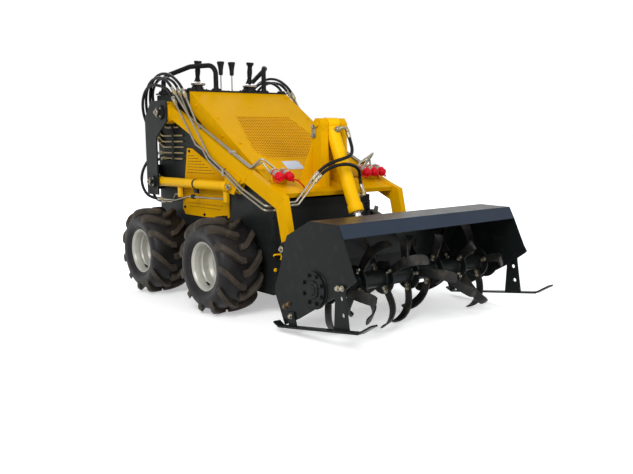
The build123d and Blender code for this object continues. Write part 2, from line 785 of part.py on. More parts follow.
def top_pipes():
    """The two pipes along the right arm's top edge, to the two couplers beside it, and clamps."""
    inner, outer = TOP_PIPES_Y
    coupler_a, coupler_b = COUPLERS_Y[:2]
    rear_face = COUPLER_X[0] - JOINT_GAP
    lift = PIPE_R + 4
    first = piped([(-652, inner, 1292), (-540, inner, 1143), (120, inner, top_z(120) + lift),
                   (168, inner, top_z(168) + lift), (250, inner + 12, 872),
                   (288, coupler_a, COUPLER_Z), (rear_face, coupler_a, COUPLER_Z)])
    second = piped([(-558, outer, 1281), (-422, outer, 1100), (120, outer, top_z(120) + lift),
                    (168, outer, top_z(168) + lift), (252, inner + 8, 893),
                    (288, coupler_b, COUPLER_Z), (rear_face, coupler_b, COUPLER_Z)])
    clamps = None
    for x in (-380, -30):
        z = top_z(x)
        clamp = block(x - 12, x + 12, outer - PIPE_R - 3, -ARM_IN, z - 4, z + 22)
        clamp -= plate(ARM_OUTLINE, -ARM_OUT - CLEAR, -ARM_IN + CLEAR)
        clamps = clamp if clamps is None else clamps + clamp
    return first + second + clamps


def outer_pipes():
    """The right arm's two outer pipes, under the arm and up to the tilt cylinder's hoses."""
    y, inside = OUTER_PIPE_Y, -ARM_IN + 8
    upper = piped([(-640, y, 1300), (-456, y, 1138), (-380, y, 1059), (-229, y, 897),
                   (-149, y, 856), (-20, y, 800), (120, y, 722), (352, y, 636),
                   (372, inside, 636), (468, inside, 658), (468, inside + 57, 658), (468, inside + 182, 783)])
    lower = piped([(-637, y, 1237), (-388, y, 968), (-304, y, 938), (-247, y, 877),
                   (-160, y, 834), (-28, y, 779), (110, y, 702), (340, y, 612),
                   (360, inside, 610), (490, inside, 645), (490, inside + 57, 645), (490, inside + 182, 770)])
    holder = block(-78, -58, y - PIPE_R - 3, -ARM_OUT - LUG_T - CLEAR, 786, 832)
    return upper + lower + holder


def third_left_pipe():
    """The left arm's outer pipe, over the arm to the innermost coupler."""
    y, coupler = -OUTER_PIPE_Y, COUPLERS_Y[2]
    run = piped([(-640, y, 1300), (-456, y, 1138), (-400, y, 1066), (150, y, 826),
                 (255, y - 25, 905), (288, coupler + 28, 850), (289, coupler, COUPLER_Z),
                 (COUPLER_X[0] - JOINT_GAP, coupler, COUPLER_Z)])
    return run + block(-330, -308, ARM_OUT + CLEAR, y + PIPE_R + 3, 1010, 1046)


def arm_pipes():
    """All steel pipes on the boom."""
    left_top = left_of(top_pipes())
    return group([top_pipes(), outer_pipes(), left_top, third_left_pipe()])


PORT_PIPE_Z = 645


def lift_pipes_right():
    """Two pipes under the right lift cylinder, from its hoses to its port blocks."""
    y = -ARM_MID
    rear, front = (x - PORT_HALF - JOINT_GAP for x in LIFT_PORTS_X)
    long_y = y - 25
    long = piped([(-885, long_y, 606), (-690, long_y, 606), (-511, long_y, 641),
                  (-230, long_y, PORT_PIPE_Z), (-180, y - 6, PORT_PIPE_Z), (front, y - 6, PORT_PIPE_Z)])
    short = piped([(-885, y, 590), (-775, y, 590), (-735, y, PORT_PIPE_Z), (rear, y, PORT_PIPE_Z)])
    return group([long, short])


TOP_END_Y, DOWN_END_Y = TOP_PIPES_Y
BOOM_HOSES = [              # each route, from the wall pipes over the pivot to the arm pipes
    [(-981.6, -383, 1122.4), (-1040, -383, 1166), (-1076, -388, 1232), (-1074, -396, 1308),
     (-1030, -403, 1362), (-955, -409, 1398), (-862, -412, 1406), (-775, -413, 1390),
     (-694, -413, 1348.5), (-652.4, -413, 1292.6)],
    [(-1033.6, -383, 1062.4), (-1084, -384, 1102), (-1104, -392, 1180), (-1100, -404, 1266),
     (-1060, -416, 1352), (-985, -424, 1406), (-890, -428, 1431), (-790, -429, 1427),
     (-700, -429, 1399), (-600, -429, 1337.5), (-558.4, -429, 1281.6)],
    [(-1023.6, -383, 1023.4), (-1076, -386, 1064), (-1106, -416, 1138), (-1106, -432, 1225),
     (-1076, -442, 1312), (-1010, -450, 1374), (-925, -455, 1401), (-835, -457, 1404),
     (-755, -458, 1386), (-692.5, -458, 1346.5), (-640.5, -458, 1300.5)],
    [(-1013.6, -383, 986.4), (-1066, -385, 1027), (-1104, -425, 1090), (-1107, -452, 1168),
     (-1090, -466, 1246), (-1040, -474, 1312), (-965, -478, 1351), (-878, -476, 1359),
     (-800, -466, 1345), (-735, -459, 1326), (-685, -458, 1289), (-637.5, -458, 1237.5)],
]
LEFT_BOOM_HOSES = 3         # the first ones have twins on the machine's left
LIFT_HOSES = [              # each route, from the wall pipes round to the lift cylinder's pipes
    [(-985.7, -383, 912), (-1040, -385, 911), (-1086, -412, 888), (-1107, -452, 836),
     (-1107, -486, 766), (-1084, -498, 694), (-1035, -490, 630), (-972, -466, 606),
     (-915, -450, 605), (-885.7, -449, 606)],
    [(-950.7, -383, 874), (-1010, -384, 873), (-1060, -398, 856), (-1086, -412, 800),
     (-1088, -420, 732), (-1080, -424, 662), (-1046, -424, 608), (-985, -424, 586),
     (-920, -424, 588), (-885.7, -424, 590)],
]
TILT_HOSES = [              # each route, from the arm pipes over the tilt cylinder to its ports
    [(468, -214.5, 783.5), (473, -165, 832), (500, -108, 866), (524, -45, 884),
     (518, 16, 900), (488, 52, 930), (462.5, 62, 972.5), (433.6, 62, 1036.3)],
    [(490, -214.5, 770.5), (498, -165, 820), (528, -104, 850), (556, -40, 856),
     (566, 16, 838), (548, 54, 806), (533.7, 64, 762.4), (562.6, 64, 698.6)],
]


def boom_hoses():
    """Hoses that loop over the boom's pivot, four on the right and three on the left."""
    right = [hose(route) for route in BOOM_HOSES]
    return group(right + [left_of(one) for one in right[:LEFT_BOOM_HOSES]])


def lift_hoses():
    """Two hoses to each lift cylinder."""
    right = [hose(route) for route in LIFT_HOSES]
    return group(right + [left_of(one) for one in right])


def tilt_hoses():
    """Two hoses to the tilt cylinder."""
    return group([hose(route) for route in TILT_HOSES])


TILT_PORTS = [              # (share along the cylinder, y range, range in front of its axis)
    (0.09, (-14, 74), (TILT_BARREL_R + CLEAR, 64)),
    (0.74, (TILT_BARREL_R + CLEAR, 76), (-12, 42)),
]
TILT_PORT_L = 28


def tilt_ports():
    """The tilt cylinder's two port blocks, where its hoses end."""
    (ux, uz), _ = toward(TILT_PIN, TILT_ROD)
    ports = []
    for share, (y_low, y_high), (low, high) in TILT_PORTS:
        x, z = between(TILT_PIN, TILT_ROD, share)
        plane = Plane(origin=(x, 0, z), x_dir=(ux, 0, uz), z_dir=(-uz, 0, ux))
        centre = Pos(0, (y_low + y_high) / 2, (low + high) / 2)
        ports.append(plane * centre * Box(TILT_PORT_L, y_high - y_low, high - low))
    return group(ports)


# ---------------------------------------------------------------- tiller
SIDE_OUTLINE = [            # (x, z) of each tiller side plate
    (814, 597), (624, 507), (594, 444), (558, 328), (509, 222), (512, 193), (594, 34),
    (719, 90), (1017, 253), (1139, 336), (1152, 349), (1130, 382), (1059, 530), (1024, 594),
]
SHEET_OUT = [               # (x, z) of the hood sheet's outer face, front lip first
    (1059, 530), (1024, 594), (814, 597), (650, 470), (560, 330), (512, 222),
]
PLATE_LOW = TILLER_Y - TILLER_HALF
PLATE_HIGH = TILLER_Y + TILLER_HALF


def tiller_side(right):
    """Side plate of the tiller, bored for the rotor's housing."""
    y_low = PLATE_LOW if right else PLATE_HIGH - SIDE_T
    side = plate(SIDE_OUTLINE, y_low, y_low + SIDE_T)
    return side - across(ROTOR_X, ROTOR_Z, SPIGOT_R, y_low - 1, y_low + SIDE_T + 1)


def inner_line(points, thickness):
    """The same open line, moved inwards (to the right of its direction) by thickness."""
    moved = []
    for i, (x, z) in enumerate(points):
        normals = []
        for a, b in ((i - 1, i), (i, i + 1)):
            if a >= 0 and b < len(points):
                unit, _ = toward(points[a], points[b])
                normals.append((-unit[1], unit[0]))
        nx = sum(n[0] for n in normals) / len(normals)
        nz = sum(n[1] for n in normals) / len(normals)
        grow = thickness / (nx * nx + nz * nz)
        moved.append((x + nx * grow, z + nz * grow))
    return moved


def tiller_hood():
    """Folded sheet over the rotor, from the front lip round to the low rear edge."""
    outline = SHEET_OUT + list(reversed(inner_line(SHEET_OUT, SHEET_T)))
    return plate(outline, PLATE_LOW + SIDE_T, PLATE_HIGH - SIDE_T)


def end_housings():
    """Drive housing on the right side plate and bearing housing on the left one."""
    parts = []
    for outer, inward in ((PLATE_LOW, 1), (PLATE_HIGH, -1)):
        def y_span(a, b):
            return sorted((outer + inward * a, outer + inward * b))
        piece = across(ROTOR_X, ROTOR_Z, HOUSING_R, *y_span(-HOUSING_T, 0))
        piece += across(ROTOR_X, ROTOR_Z, SPIGOT_R - CLEAR, *y_span(0, SIDE_T + 4))
        piece += across(ROTOR_X, ROTOR_Z, STUB_R, *y_span(SIDE_T + 4, SIDE_T + 50))
        parts.append(piece)
    return group(parts)


ROTOR_END_GAP = 8           # rotor tube to each housing
FLANGE_INSET = 60           # end flanges from the rotor tube's ends


def tine(side):
    """L-shaped blade standing up from the Y axis, its tip bent towards side."""
    outline = [                             # (y, radius)
        (-TINE_T / 2, 0), (-TINE_T / 2, TINE_R), (TINE_FOOT, TINE_R),
        (TINE_FOOT, TINE_R - TINE_T), (TINE_T / 2, TINE_R - TINE_T), (TINE_T / 2, 0),
    ]
    face = make_face(Polyline(*[(side * y, r) for y, r in outline], close=True))
    corners = face.vertices().sort_by(lambda v: v.Y * 10 - side * v.X)
    face = fillet(corners[-1], TINE_BEND_R)
    inner = [v for v in face.vertices() if abs(v.X - side * TINE_T / 2) < 1 and v.Y > TINE_R / 2]
    face = fillet(inner[0], TINE_BEND_R - TINE_T)
    blade = extrude(Plane.YZ * face, amount=TINE_W / 2, both=True)
    return blade


def rotor():
    """Rotor: tube, tine flanges and bent tines."""
    low, high = PLATE_LOW + SIDE_T + ROTOR_END_GAP, PLATE_HIGH - SIDE_T - ROTOR_END_GAP
    reel = across(ROTOR_X, ROTOR_Z, ROTOR_TUBE_R, low, high)
    pitch = (high - low - 2 * FLANGE_INSET) / (FLANGES - 1)
    blades = {side: tine(side) for side in (-1, 1)}
    for i in range(FLANGES):
        y = low + FLANGE_INSET + i * pitch
        reel += across(ROTOR_X, ROTOR_Z, FLANGE_R, y - FLANGE_T / 2, y + FLANGE_T / 2)
        for k in range(TINES_PER_FLANGE):
            side = 1 if i == 0 else -1 if i == FLANGES - 1 else (-1) ** k
            turn = 360 / TINES_PER_FLANGE * k + i * TINE_STAGGER
            reel += Pos(ROTOR_X, y, ROTOR_Z) * Rot(0, turn, 0) * blades[side]
    for outer, inward in ((low, 1), (high, -1)):
        ends = sorted((outer - inward, outer + inward * FLANGE_INSET))
        reel -= across(ROTOR_X, ROTOR_Z, STUB_R + CLEAR, *ends)
    return reel


SKID_LINE = [(548, 45), (593, 26), (1210, 112), (1300, 165)]
FRONT_LEG = [(1017, 312), (1078, 318), (1112, 104), (1004, 89)]
REAR_LEG = [(630, 112), (682, 118), (704, 46), (640, 37)]


def skid_holes():
    """Centres (x, z) of the two free height holes in the front leg."""
    top, foot = (1058, 250), (1070, 171)
    return top, foot


def skids():
    """Two depth skids, each a runner with a front and a rear leg bolted to the side plate."""
    parts = []
    for outer, sign in ((PLATE_LOW, -1), (PLATE_HIGH, 1)):
        def y_span(a, b):
            return sorted((outer + sign * a, outer + sign * b))
        skid = plate(SKID_LINE + list(reversed(inner_line(SKID_LINE, SKID_T))), *y_span(0, SKID_W))
        for leg in (FRONT_LEG, REAR_LEG):
            skid += plate(leg, *y_span(0, SIDE_T))
        for x, z in skid_holes():
            skid -= across(x, z, SKID_HOLE_R, *y_span(-2, SIDE_T + 2))
        parts.append(skid)
    return group(parts)


HITCH_EAR_GAP = 8           # each ear to the arm's foot between them
HITCH_EAR_T = 12


def hitch_frame():
    """Quick-hitch frame on the tiller's back: ears and pins for the arms, clevis for the rod."""
    plate_top, plate_low = SHEET_OUT[3], between(SHEET_OUT[3], SHEET_OUT[4], 0.6)
    back = [(FOOT_X - 36, FOOT_Z - 20), (FOOT_X - 30, FOOT_Z + 28), (FOOT_X + 10, FOOT_Z + 42),
            (650, 470), (560, 330), (FOOT_X - 10, FOOT_Z - 42)]
    inner, outer = ARM_IN - HITCH_EAR_GAP, ARM_OUT + HITCH_EAR_GAP
    half = outer + HITCH_EAR_T
    frame = plate([(FOOT_X + 56, 390), (FOOT_X + 56, 462), plate_top, plate_low], -half, half)
    for side in (-1, 1):
        for face in (inner - HITCH_EAR_T, outer):
            frame += plate(back, *sorted((side * face, side * (face + HITCH_EAR_T))))
        ends = sorted((side * (inner - HITCH_EAR_T), side * (half + 15)))
        frame += across(FOOT_X, FOOT_Z, FOOT_PIN_R, *ends)
    clevis = [(TILT_ROD_X - 32, TILT_ROD_Z - 10), (TILT_ROD_X - 20, TILT_ROD_Z + 27),
              (TILT_ROD_X + 14, TILT_ROD_Z + 31), (TILT_ROD_X + 36, TILT_ROD_Z + 8),
              between(SHEET_OUT[3], SHEET_OUT[2], 0.26), SHEET_OUT[3], (FOOT_X + 60, 455)]
    gap = TILT_ROD_EYE_W / 2 + 3
    for side in (-1, 1):
        ends = sorted((side * gap, side * (gap + 14)))
        frame += plate(clevis, *ends)
        ends = sorted((side * (gap + 14), side * (gap + 26)))
        frame += across(TILT_ROD_X, TILT_ROD_Z, TILT_PIN_R, *ends)
    return frame


# ---------------------------------------------------------------- all nodes
def all_pieces():
    """Every node's name and its solid, in machine coordinates."""
    pieces = {
        "chassis_tub": chassis_tub(),
        "rear_step": rear_step(),
        "hood": hood(),
        "front_grille": front_grille(),
        "top_deck": top_deck(),
        "rear_console": rear_console(),
        "engine": engine(),
        "wheel_motors": wheel_motors(),
        "filler_caps": filler_caps(),
        "joysticks": joysticks(),
        "control_levers": control_levers(),
        "grab_handles": grab_handles(),
        "cross_member": cross_member(),
        "couplers": couplers(),
        "coupler_caps": coupler_caps(),
        "tilt_barrel": tilt_barrel(),
        "tilt_rod": tilt_rod(),
        "tilt_ports": tilt_ports(),
        "tower_pipes": tower_pipes(),
        "arm_pipes": arm_pipes(),
        "boom_hoses": boom_hoses(),
        "lift_hoses": lift_hoses(),
        "tilt_hoses": tilt_hoses(),
        "tiller_side_right": tiller_side(True),
        "tiller_side_left": tiller_side(False),
        "tiller_hood": tiller_hood(),
        "end_housings": end_housings(),
        "rotor": rotor(),
        "skids": skids(),
        "hitch_frame": hitch_frame(),
    }
    for name, right in (
        ("tower", tower_right()),
        ("side_panel", side_panel_right()),
        ("arm", arm_right()),
        ("lift_barrel", lift_barrel_right()),
        ("lift_rod", lift_rod_right()),
        ("lift_pipes", lift_pipes_right()),
    ):
        pieces[name + "_right"] = right
        pieces[name + "_left"] = left_of(right)
    for end, x in (("front", 0), ("rear", -WHEELBASE)):
        for hand, side in (("right", -1), ("left", 1)):
            pieces[f"tyre_{end}_{hand}"] = tyre(x, side)
            pieces[f"rim_{end}_{hand}"] = rim(x, side)
    return pieces


def footprint_middle(boxes):
    """Middle of the footprint of all boxes, on the ground."""
    x = (min(b.min.X for b in boxes) + max(b.max.X for b in boxes)) / 2
    y = (min(b.min.Y for b in boxes) + max(b.max.Y for b in boxes)) / 2
    return x, y, 0


os.makedirs("parts", exist_ok=True)
PIECES = all_pieces()
MIDDLE = footprint_middle([piece.bounding_box() for piece in PIECES.values()])
print("row frame's origin in machine coordinates:", MIDDLE)
for name, piece in PIECES.items():
    placed = Pos(*MIDDLE).inverse() * piece
    placed.label = name
    export_step(placed, f"parts/{name}.step")
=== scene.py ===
"""Looks of the stand-on skid steer loader with its rotary tiller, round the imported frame.

Shapes are drawn in machine coordinates in millimetres, X forward from the front axle, Y to the
machine's left, Z up, and placed in the frame by machine().
"""
import math

import bmesh
import bpy
from mathutils import Matrix, Vector


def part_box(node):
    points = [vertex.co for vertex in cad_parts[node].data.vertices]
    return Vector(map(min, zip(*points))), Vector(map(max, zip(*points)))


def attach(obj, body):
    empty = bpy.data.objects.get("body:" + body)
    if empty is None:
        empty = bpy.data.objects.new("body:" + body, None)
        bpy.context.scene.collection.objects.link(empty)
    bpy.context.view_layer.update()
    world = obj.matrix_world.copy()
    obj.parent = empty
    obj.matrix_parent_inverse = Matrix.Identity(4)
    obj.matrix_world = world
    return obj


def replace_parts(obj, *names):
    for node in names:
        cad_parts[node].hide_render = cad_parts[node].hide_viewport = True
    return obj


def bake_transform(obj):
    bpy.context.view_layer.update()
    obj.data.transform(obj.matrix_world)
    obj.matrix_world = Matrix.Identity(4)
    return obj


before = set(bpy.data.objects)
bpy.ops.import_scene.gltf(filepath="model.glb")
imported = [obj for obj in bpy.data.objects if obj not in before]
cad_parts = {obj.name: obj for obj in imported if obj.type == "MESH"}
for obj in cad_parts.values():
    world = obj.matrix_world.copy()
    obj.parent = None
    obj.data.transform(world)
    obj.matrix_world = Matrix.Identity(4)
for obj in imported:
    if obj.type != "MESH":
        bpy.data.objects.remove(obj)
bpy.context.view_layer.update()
SCENE = bpy.context.scene
SCENE.view_settings.view_transform = "Standard"

# ---- where the machine stands
FRONT_RIMS = [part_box(f"rim_front_{hand}") for hand in ("right", "left")]
ORIGIN = Vector(((FRONT_RIMS[0][0].x + FRONT_RIMS[0][1].x) / 2,
                 (FRONT_RIMS[0][0].y + FRONT_RIMS[1][1].y) / 2, 0))


def machine(x, y, z):
    """A point in machine millimetres, in the row frame in metres."""
    return ORIGIN + Vector((x, y, z)) / 1000


def node_box(name):
    """Lowest and highest corner of a CAD node, in machine millimetres."""
    return [(corner - ORIGIN) * 1000 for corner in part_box(name)]


# sizes taken from the frame
RIM_LOW, RIM_HIGH = node_box("rim_front_left")
TYRE_LOW, TYRE_HIGH = node_box("tyre_front_left")
AXLE_Z = (RIM_LOW.z + RIM_HIGH.z) / 2
TYRE_R = AXLE_Z - TYRE_LOW.z
WHEEL_Y = (TYRE_LOW.y + TYRE_HIGH.y) / 2
REAR_AXLE_X = sum(corner.x for corner in node_box("rim_rear_left")) / 2
PLATE_LOW_Y = node_box("tiller_side_right")[0].y
PLATE_HIGH_Y = node_box("tiller_side_left")[1].y
HOUSING_LOW, HOUSING_HIGH = node_box("end_housings")
ROTOR_X = (HOUSING_LOW.x + HOUSING_HIGH.x) / 2
ROTOR_Z = (HOUSING_LOW.z + HOUSING_HIGH.z) / 2
ARM_FACE = node_box("arm_right")[0].y
PANEL_FACE = node_box("side_panel_right")[0].y
DECK_Z = node_box("rear_console")[0].z
TO_RIGHT, UPWARD = (0, -1, 0), (0, 0, 1)


# ---- materials
def linear(rgb):
    """Linear colour of an sRGB triple from 0 to 255."""
    return [c / 12.92 / 255 if c <= 10 else ((c / 255 + 0.055) / 1.055) ** 2.4 for c in rgb]


def add_node(tree, kind, **values):
    """A shader node with its sockets' values; a name's spaces are written as underscores."""
    made = tree.nodes.new("ShaderNode" + kind)
    for socket, value in values.items():
        made.inputs[socket.replace("_", " ")].default_value = value
    return made


def add_ramp(tree, fac, *stops):
    """Colours that blend from one (position, colour) to the other."""
    made = tree.nodes.new("ShaderNodeValToRGB")
    for element, (position, colour) in zip(made.color_ramp.elements, stops):
        element.position, element.color = position, [*colour, 1]
    tree.links.new(fac, made.inputs["Fac"])
    return made.outputs["Color"]


COAT_ROUGH = 0.08
PATCH_SCALE, GRAIN_HEIGHT = 23.0, 0.001


def material(name, rgb, rough, metal=0.0, coat=0.0, spec=0.5, tint=0.06, tint_scale=6.0,
             dirt=None, dirt_share=0.0, bump=0.02, bump_scale=400.0, rough_spread=0.08, sheen=0.0):
    """Painted, plated or moulded surface: colour drift, dirt patches, rough patches and grain."""
    made = bpy.data.materials.new(name)
    made.use_nodes = True
    tree = made.node_tree
    link, shader = tree.links.new, tree.nodes["Principled BSDF"]
    for socket, value in (("Metallic", metal), ("Coat Weight", coat),
                          ("Coat Roughness", COAT_ROUGH), ("Specular IOR Level", spec),
                          ("Sheen Weight", sheen)):
        shader.inputs[socket].default_value = value
    place = add_node(tree, "TexCoord").outputs["Object"]

    def noise(scale, detail):
        texture = add_node(tree, "TexNoise", Scale=scale, Detail=detail)
        link(place, texture.inputs["Vector"])
        return texture.outputs["Fac"]

    base = linear(rgb)
    colour = add_ramp(tree, noise(tint_scale, 4), (0.3, [c * (1 - tint) for c in base]),
                      (0.7, [min(1, c * (1 + tint)) for c in base]))
    if dirt:
        mix = add_node(tree, "Mix")
        mix.data_type = "RGBA"
        link(add_ramp(tree, noise(PATCH_SCALE, 9), (0.62 - 0.25 * dirt_share, [0] * 3),
                      (0.85, [dirt_share] * 3)), mix.inputs["Factor"])
        link(colour, mix.inputs["A"])
        mix.inputs["B"].default_value = linear(dirt) + [1]
        colour = mix.outputs["Result"]
    link(colour, shader.inputs["Base Color"])
    gloss = add_node(tree, "MapRange", To_Min=max(0.02, rough - rough_spread),
                     To_Max=min(1, rough + rough_spread))
    link(noise(tint_scale * 3, 6), gloss.inputs["Value"])
    link(gloss.outputs["Result"], shader.inputs["Roughness"])
    grain = add_node(tree, "Bump", Strength=bump, Distance=GRAIN_HEIGHT)
    link(noise(bump_scale, 3), grain.inputs["Height"])
    link(grain.outputs["Normal"], shader.inputs["Normal"])
    return made


YELLOW = material("yellow_enamel", (216, 160, 0), 0.5, spec=0.03, tint=0.035, bump=0.03,
                  bump_scale=120, dirt=(168, 120, 20), dirt_share=0.25)
# glossier yellow of the cylinders and front hooks, made lighter than the body's yellow as painted
# light
LIT_CYLINDER_YELLOW = material("cylinder_yellow_painted_light", (240, 182, 2), 0.38, coat=0.02, spec=0.06, tint=0.03,
                    bump=0.02)
MESH_YELLOW = material("yellow_mesh_enamel", (226, 164, 8), 0.5, spec=0.06, tint=0.05)
CHARCOAL = material("charcoal_enamel", (30, 33, 32), 0.44, spec=0.12, tint=0.12,
                    dirt=(66, 63, 55), dirt_share=0.25, bump=0.04, bump_scale=150)
TILLER = material("tiller_enamel", (20, 23, 23), 0.32, spec=0.11, tint=0.1, dirt=(66, 63, 55),
                  dirt_share=0.25, bump=0.04, bump_scale=150)
PLASTIC = material("black_plastic", (17, 17, 18), 0.5, spec=0.15, tint=0.1, bump=0.15,
                   bump_scale=900)
GRIP = material("black_grip_rubber", (16, 16, 17), 0.62, spec=0.12, tint=0.15, bump=0.3,
                bump_scale=700, sheen=0.05)
TYRE = material("tyre_rubber", (23, 21, 21), 0.46, spec=0.22, tint=0.2, tint_scale=9,
                dirt=(78, 68, 54), dirt_share=0.22, bump=0.22, bump_scale=260, rough_spread=0.14)
# lugs lighter and browner than the carcass: partly real dust, partly a painted highlight on the
# lug tops
LUG_DUST_AND_HIGHLIGHT = material("tread_dust_and_painted_highlight", (58, 52, 45), 0.56, spec=0.14, tint=0.25, tint_scale=14,
                     dirt=(104, 90, 68), dirt_share=0.45, bump=0.25, bump_scale=200)
HOSE = material("hose_rubber", (15, 15, 16), 0.46, spec=0.14, tint=0.15, bump=0.2, bump_scale=500)
SILVER = material("rim_silver", (178, 177, 168), 0.36, metal=0.3, spec=0.2, tint=0.05,
                  dirt=(120, 112, 98), dirt_share=0.3, bump=0.06, bump_scale=200)
ZINC = material("zinc_plate", (148, 142, 126), 0.32, metal=0.85, tint=0.14, tint_scale=30,
                dirt=(110, 92, 60), dirt_share=0.3, bump=0.05, bump_scale=500)
BRASS = material("yellow_passivate", (166, 150, 108), 0.34, metal=0.75, tint=0.16, tint_scale=40)
CHROME = material("hard_chrome", (196, 196, 196), 0.12, metal=1.0, tint=0.02, bump=0.0,
                  rough_spread=0.04)
STEEL = material("polished_steel", (142, 140, 136), 0.2, metal=1.0, tint=0.08, bump=0.02,
                 bump_scale=300, rough_spread=0.06)
RED = material("red_cap_plastic", (196, 6, 30), 0.36, spec=0.15, tint=0.08, bump=0.04)
IRON = material("cast_iron", (38, 36, 34), 0.6, spec=0.15, metal=0.3, tint=0.2, dirt=(92, 74, 54),
                dirt_share=0.35, bump=0.4, bump_scale=220)
TINE = material("tine_steel", (32, 32, 31), 0.42, spec=0.2, metal=0.2, tint=0.2, tint_scale=18,
                dirt=(104, 92, 76), dirt_share=0.4, bump=0.15, bump_scale=200)
BLANK = material("blank_plate", (186, 196, 210), 0.35, metal=0.3, tint=0.05)
# near black for the openings of the louvres: painted shade
PAINTED_SHADE = material("painted_shade_recess", (14, 14, 15), 0.8, tint=0.2)
RUST = material("bronze_bolt", (98, 80, 54), 0.45, metal=0.6, tint=0.2, tint_scale=40)
WINE = material("wiper_rubber", (110, 20, 26), 0.4, coat=0.2, tint=0.1)
# lighter blue-grey for the tiller hood's front edge: painted highlight
LIP_HIGHLIGHT = material("tiller_lip_painted_highlight", (36, 45, 58), 0.34, spec=0.12, tint=0.08)
# darker orange sheet behind the grille mesh: painted shade inside the opening
GRILLE_SHADE = material("grille_shade_sheet", (142, 84, 10), 0.7, spec=0.05, tint=0.2, tint_scale=60)

NODE_MATERIALS = {          # of each material slot in model.glb
    "yellow_paint": YELLOW, "yellow_cylinder": LIT_CYLINDER_YELLOW, "yellow_mesh": MESH_YELLOW,
    "charcoal_paint": CHARCOAL, "tiller_paint": TILLER, "black_plastic": PLASTIC,
    "black_rubber": GRIP, "lever_steel": CHROME, "zinc_steel": ZINC, "chrome": CHROME,
    "red_plastic": RED, "engine_iron": IRON, "rotor_iron": TINE, "tyre_rubber": TYRE,
    "rim_silver": SILVER, "hose_rubber": HOSE,
}


def dress_nodes():
    """Every CAD node gets the material of its slot in model.glb."""
    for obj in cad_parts.values():
        chosen = NODE_MATERIALS[obj.data.materials[0].name.split(".")[0]]
        obj.data.materials.clear()
        obj.data.materials.append(chosen)


def finish_mesh(obj, chosen, body, smooth=35):
    """Material, smooth shading with sharp edges, and the body that the piece rides on."""
    obj.data.materials.clear()
    obj.data.materials.append(chosen)
    obj.data.polygons.foreach_set("use_smooth", [True] * len(obj.data.polygons))
    obj.data.set_sharp_from_angle(angle=math.radians(smooth))
    if body:
        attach(obj, body)
    return obj


# ---- making shapes
def about_y(r, turn, y=0.0):
    """A point at a radius and a turn round the Y axis."""
    return Vector((r * math.cos(turn), y, r * math.sin(turn)))


def across(y):
    """A step to the machine's left."""
    return Vector((0, y, 0))


def unit_frame(axis):
    """Two directions square to an axis and to each other."""
    side = axis.orthogonal().normalized()
    if abs(axis.x) > 0.9:
        side = Vector((0, 1, 0))
    elif max(abs(axis.y), abs(axis.z)) > 0.9:
        side = Vector((1, 0, 0))
    side = (side - axis * side.dot(axis)).normalized()
    return side, axis.cross(side)


def circle(middle, side, up, r, around, turn=0.0):
    """Points of a circle that has side and up as its two directions."""
    turns = [turn + 2 * math.pi * k / around for k in range(around)]
    return [middle + (side * math.cos(t) + up * math.sin(t)) * r for t in turns]


def skin(rings, loop=False):
    """Points and faces over rings of as many points each, capped unless they loop."""
    count = len(rings[0])
    faces = []
    for i in range(len(rings) if loop else len(rings) - 1):
        a, b = i * count, (i + 1) % len(rings) * count
        faces += [(a + k, a + (k + 1) % count, b + (k + 1) % count, b + k) for k in range(count)]
    if not loop:
        faces += [tuple(reversed(range(count))),
                  tuple(range((len(rings) - 1) * count, len(rings) * count))]
    return [v for ring in rings for v in ring], faces


def smooth_line(points, steps=8):
    """Points along a curve that passes through the given ones."""
    points = [Vector(p) for p in points]
    ends = [points[0] * 2 - points[1]] + points + [points[-1] * 2 - points[-2]]
    line = []
    for a, b, c, d in zip(ends, ends[1:], ends[2:], ends[3:]):
        for i in range(steps):
            t = i / steps
            line.append(0.5 * (2 * b + (c - a) * t + (2 * a - 5 * b + 4 * c - d) * t * t
                               + (3 * b - a - 3 * c + d) * t * t * t))
    return line + [points[-1]]


def frames_along(line):
    """A steady pair of cross directions at each point of a line."""
    frames, last = [], None
    for i, point in enumerate(line):
        ahead = (line[min(i + 1, len(line) - 1)] - line[max(i - 1, 0)]).normalized()
        side = ahead.orthogonal() if last is None else last - ahead * last.dot(ahead)
        last = side.normalized()
        frames.append((point, last, ahead.cross(last)))
    return frames


def show(name, mesh):
    """An object of the mesh, in the scene."""
    obj = bpy.data.objects.new(name, mesh)
    SCENE.collection.objects.link(obj)
    return obj


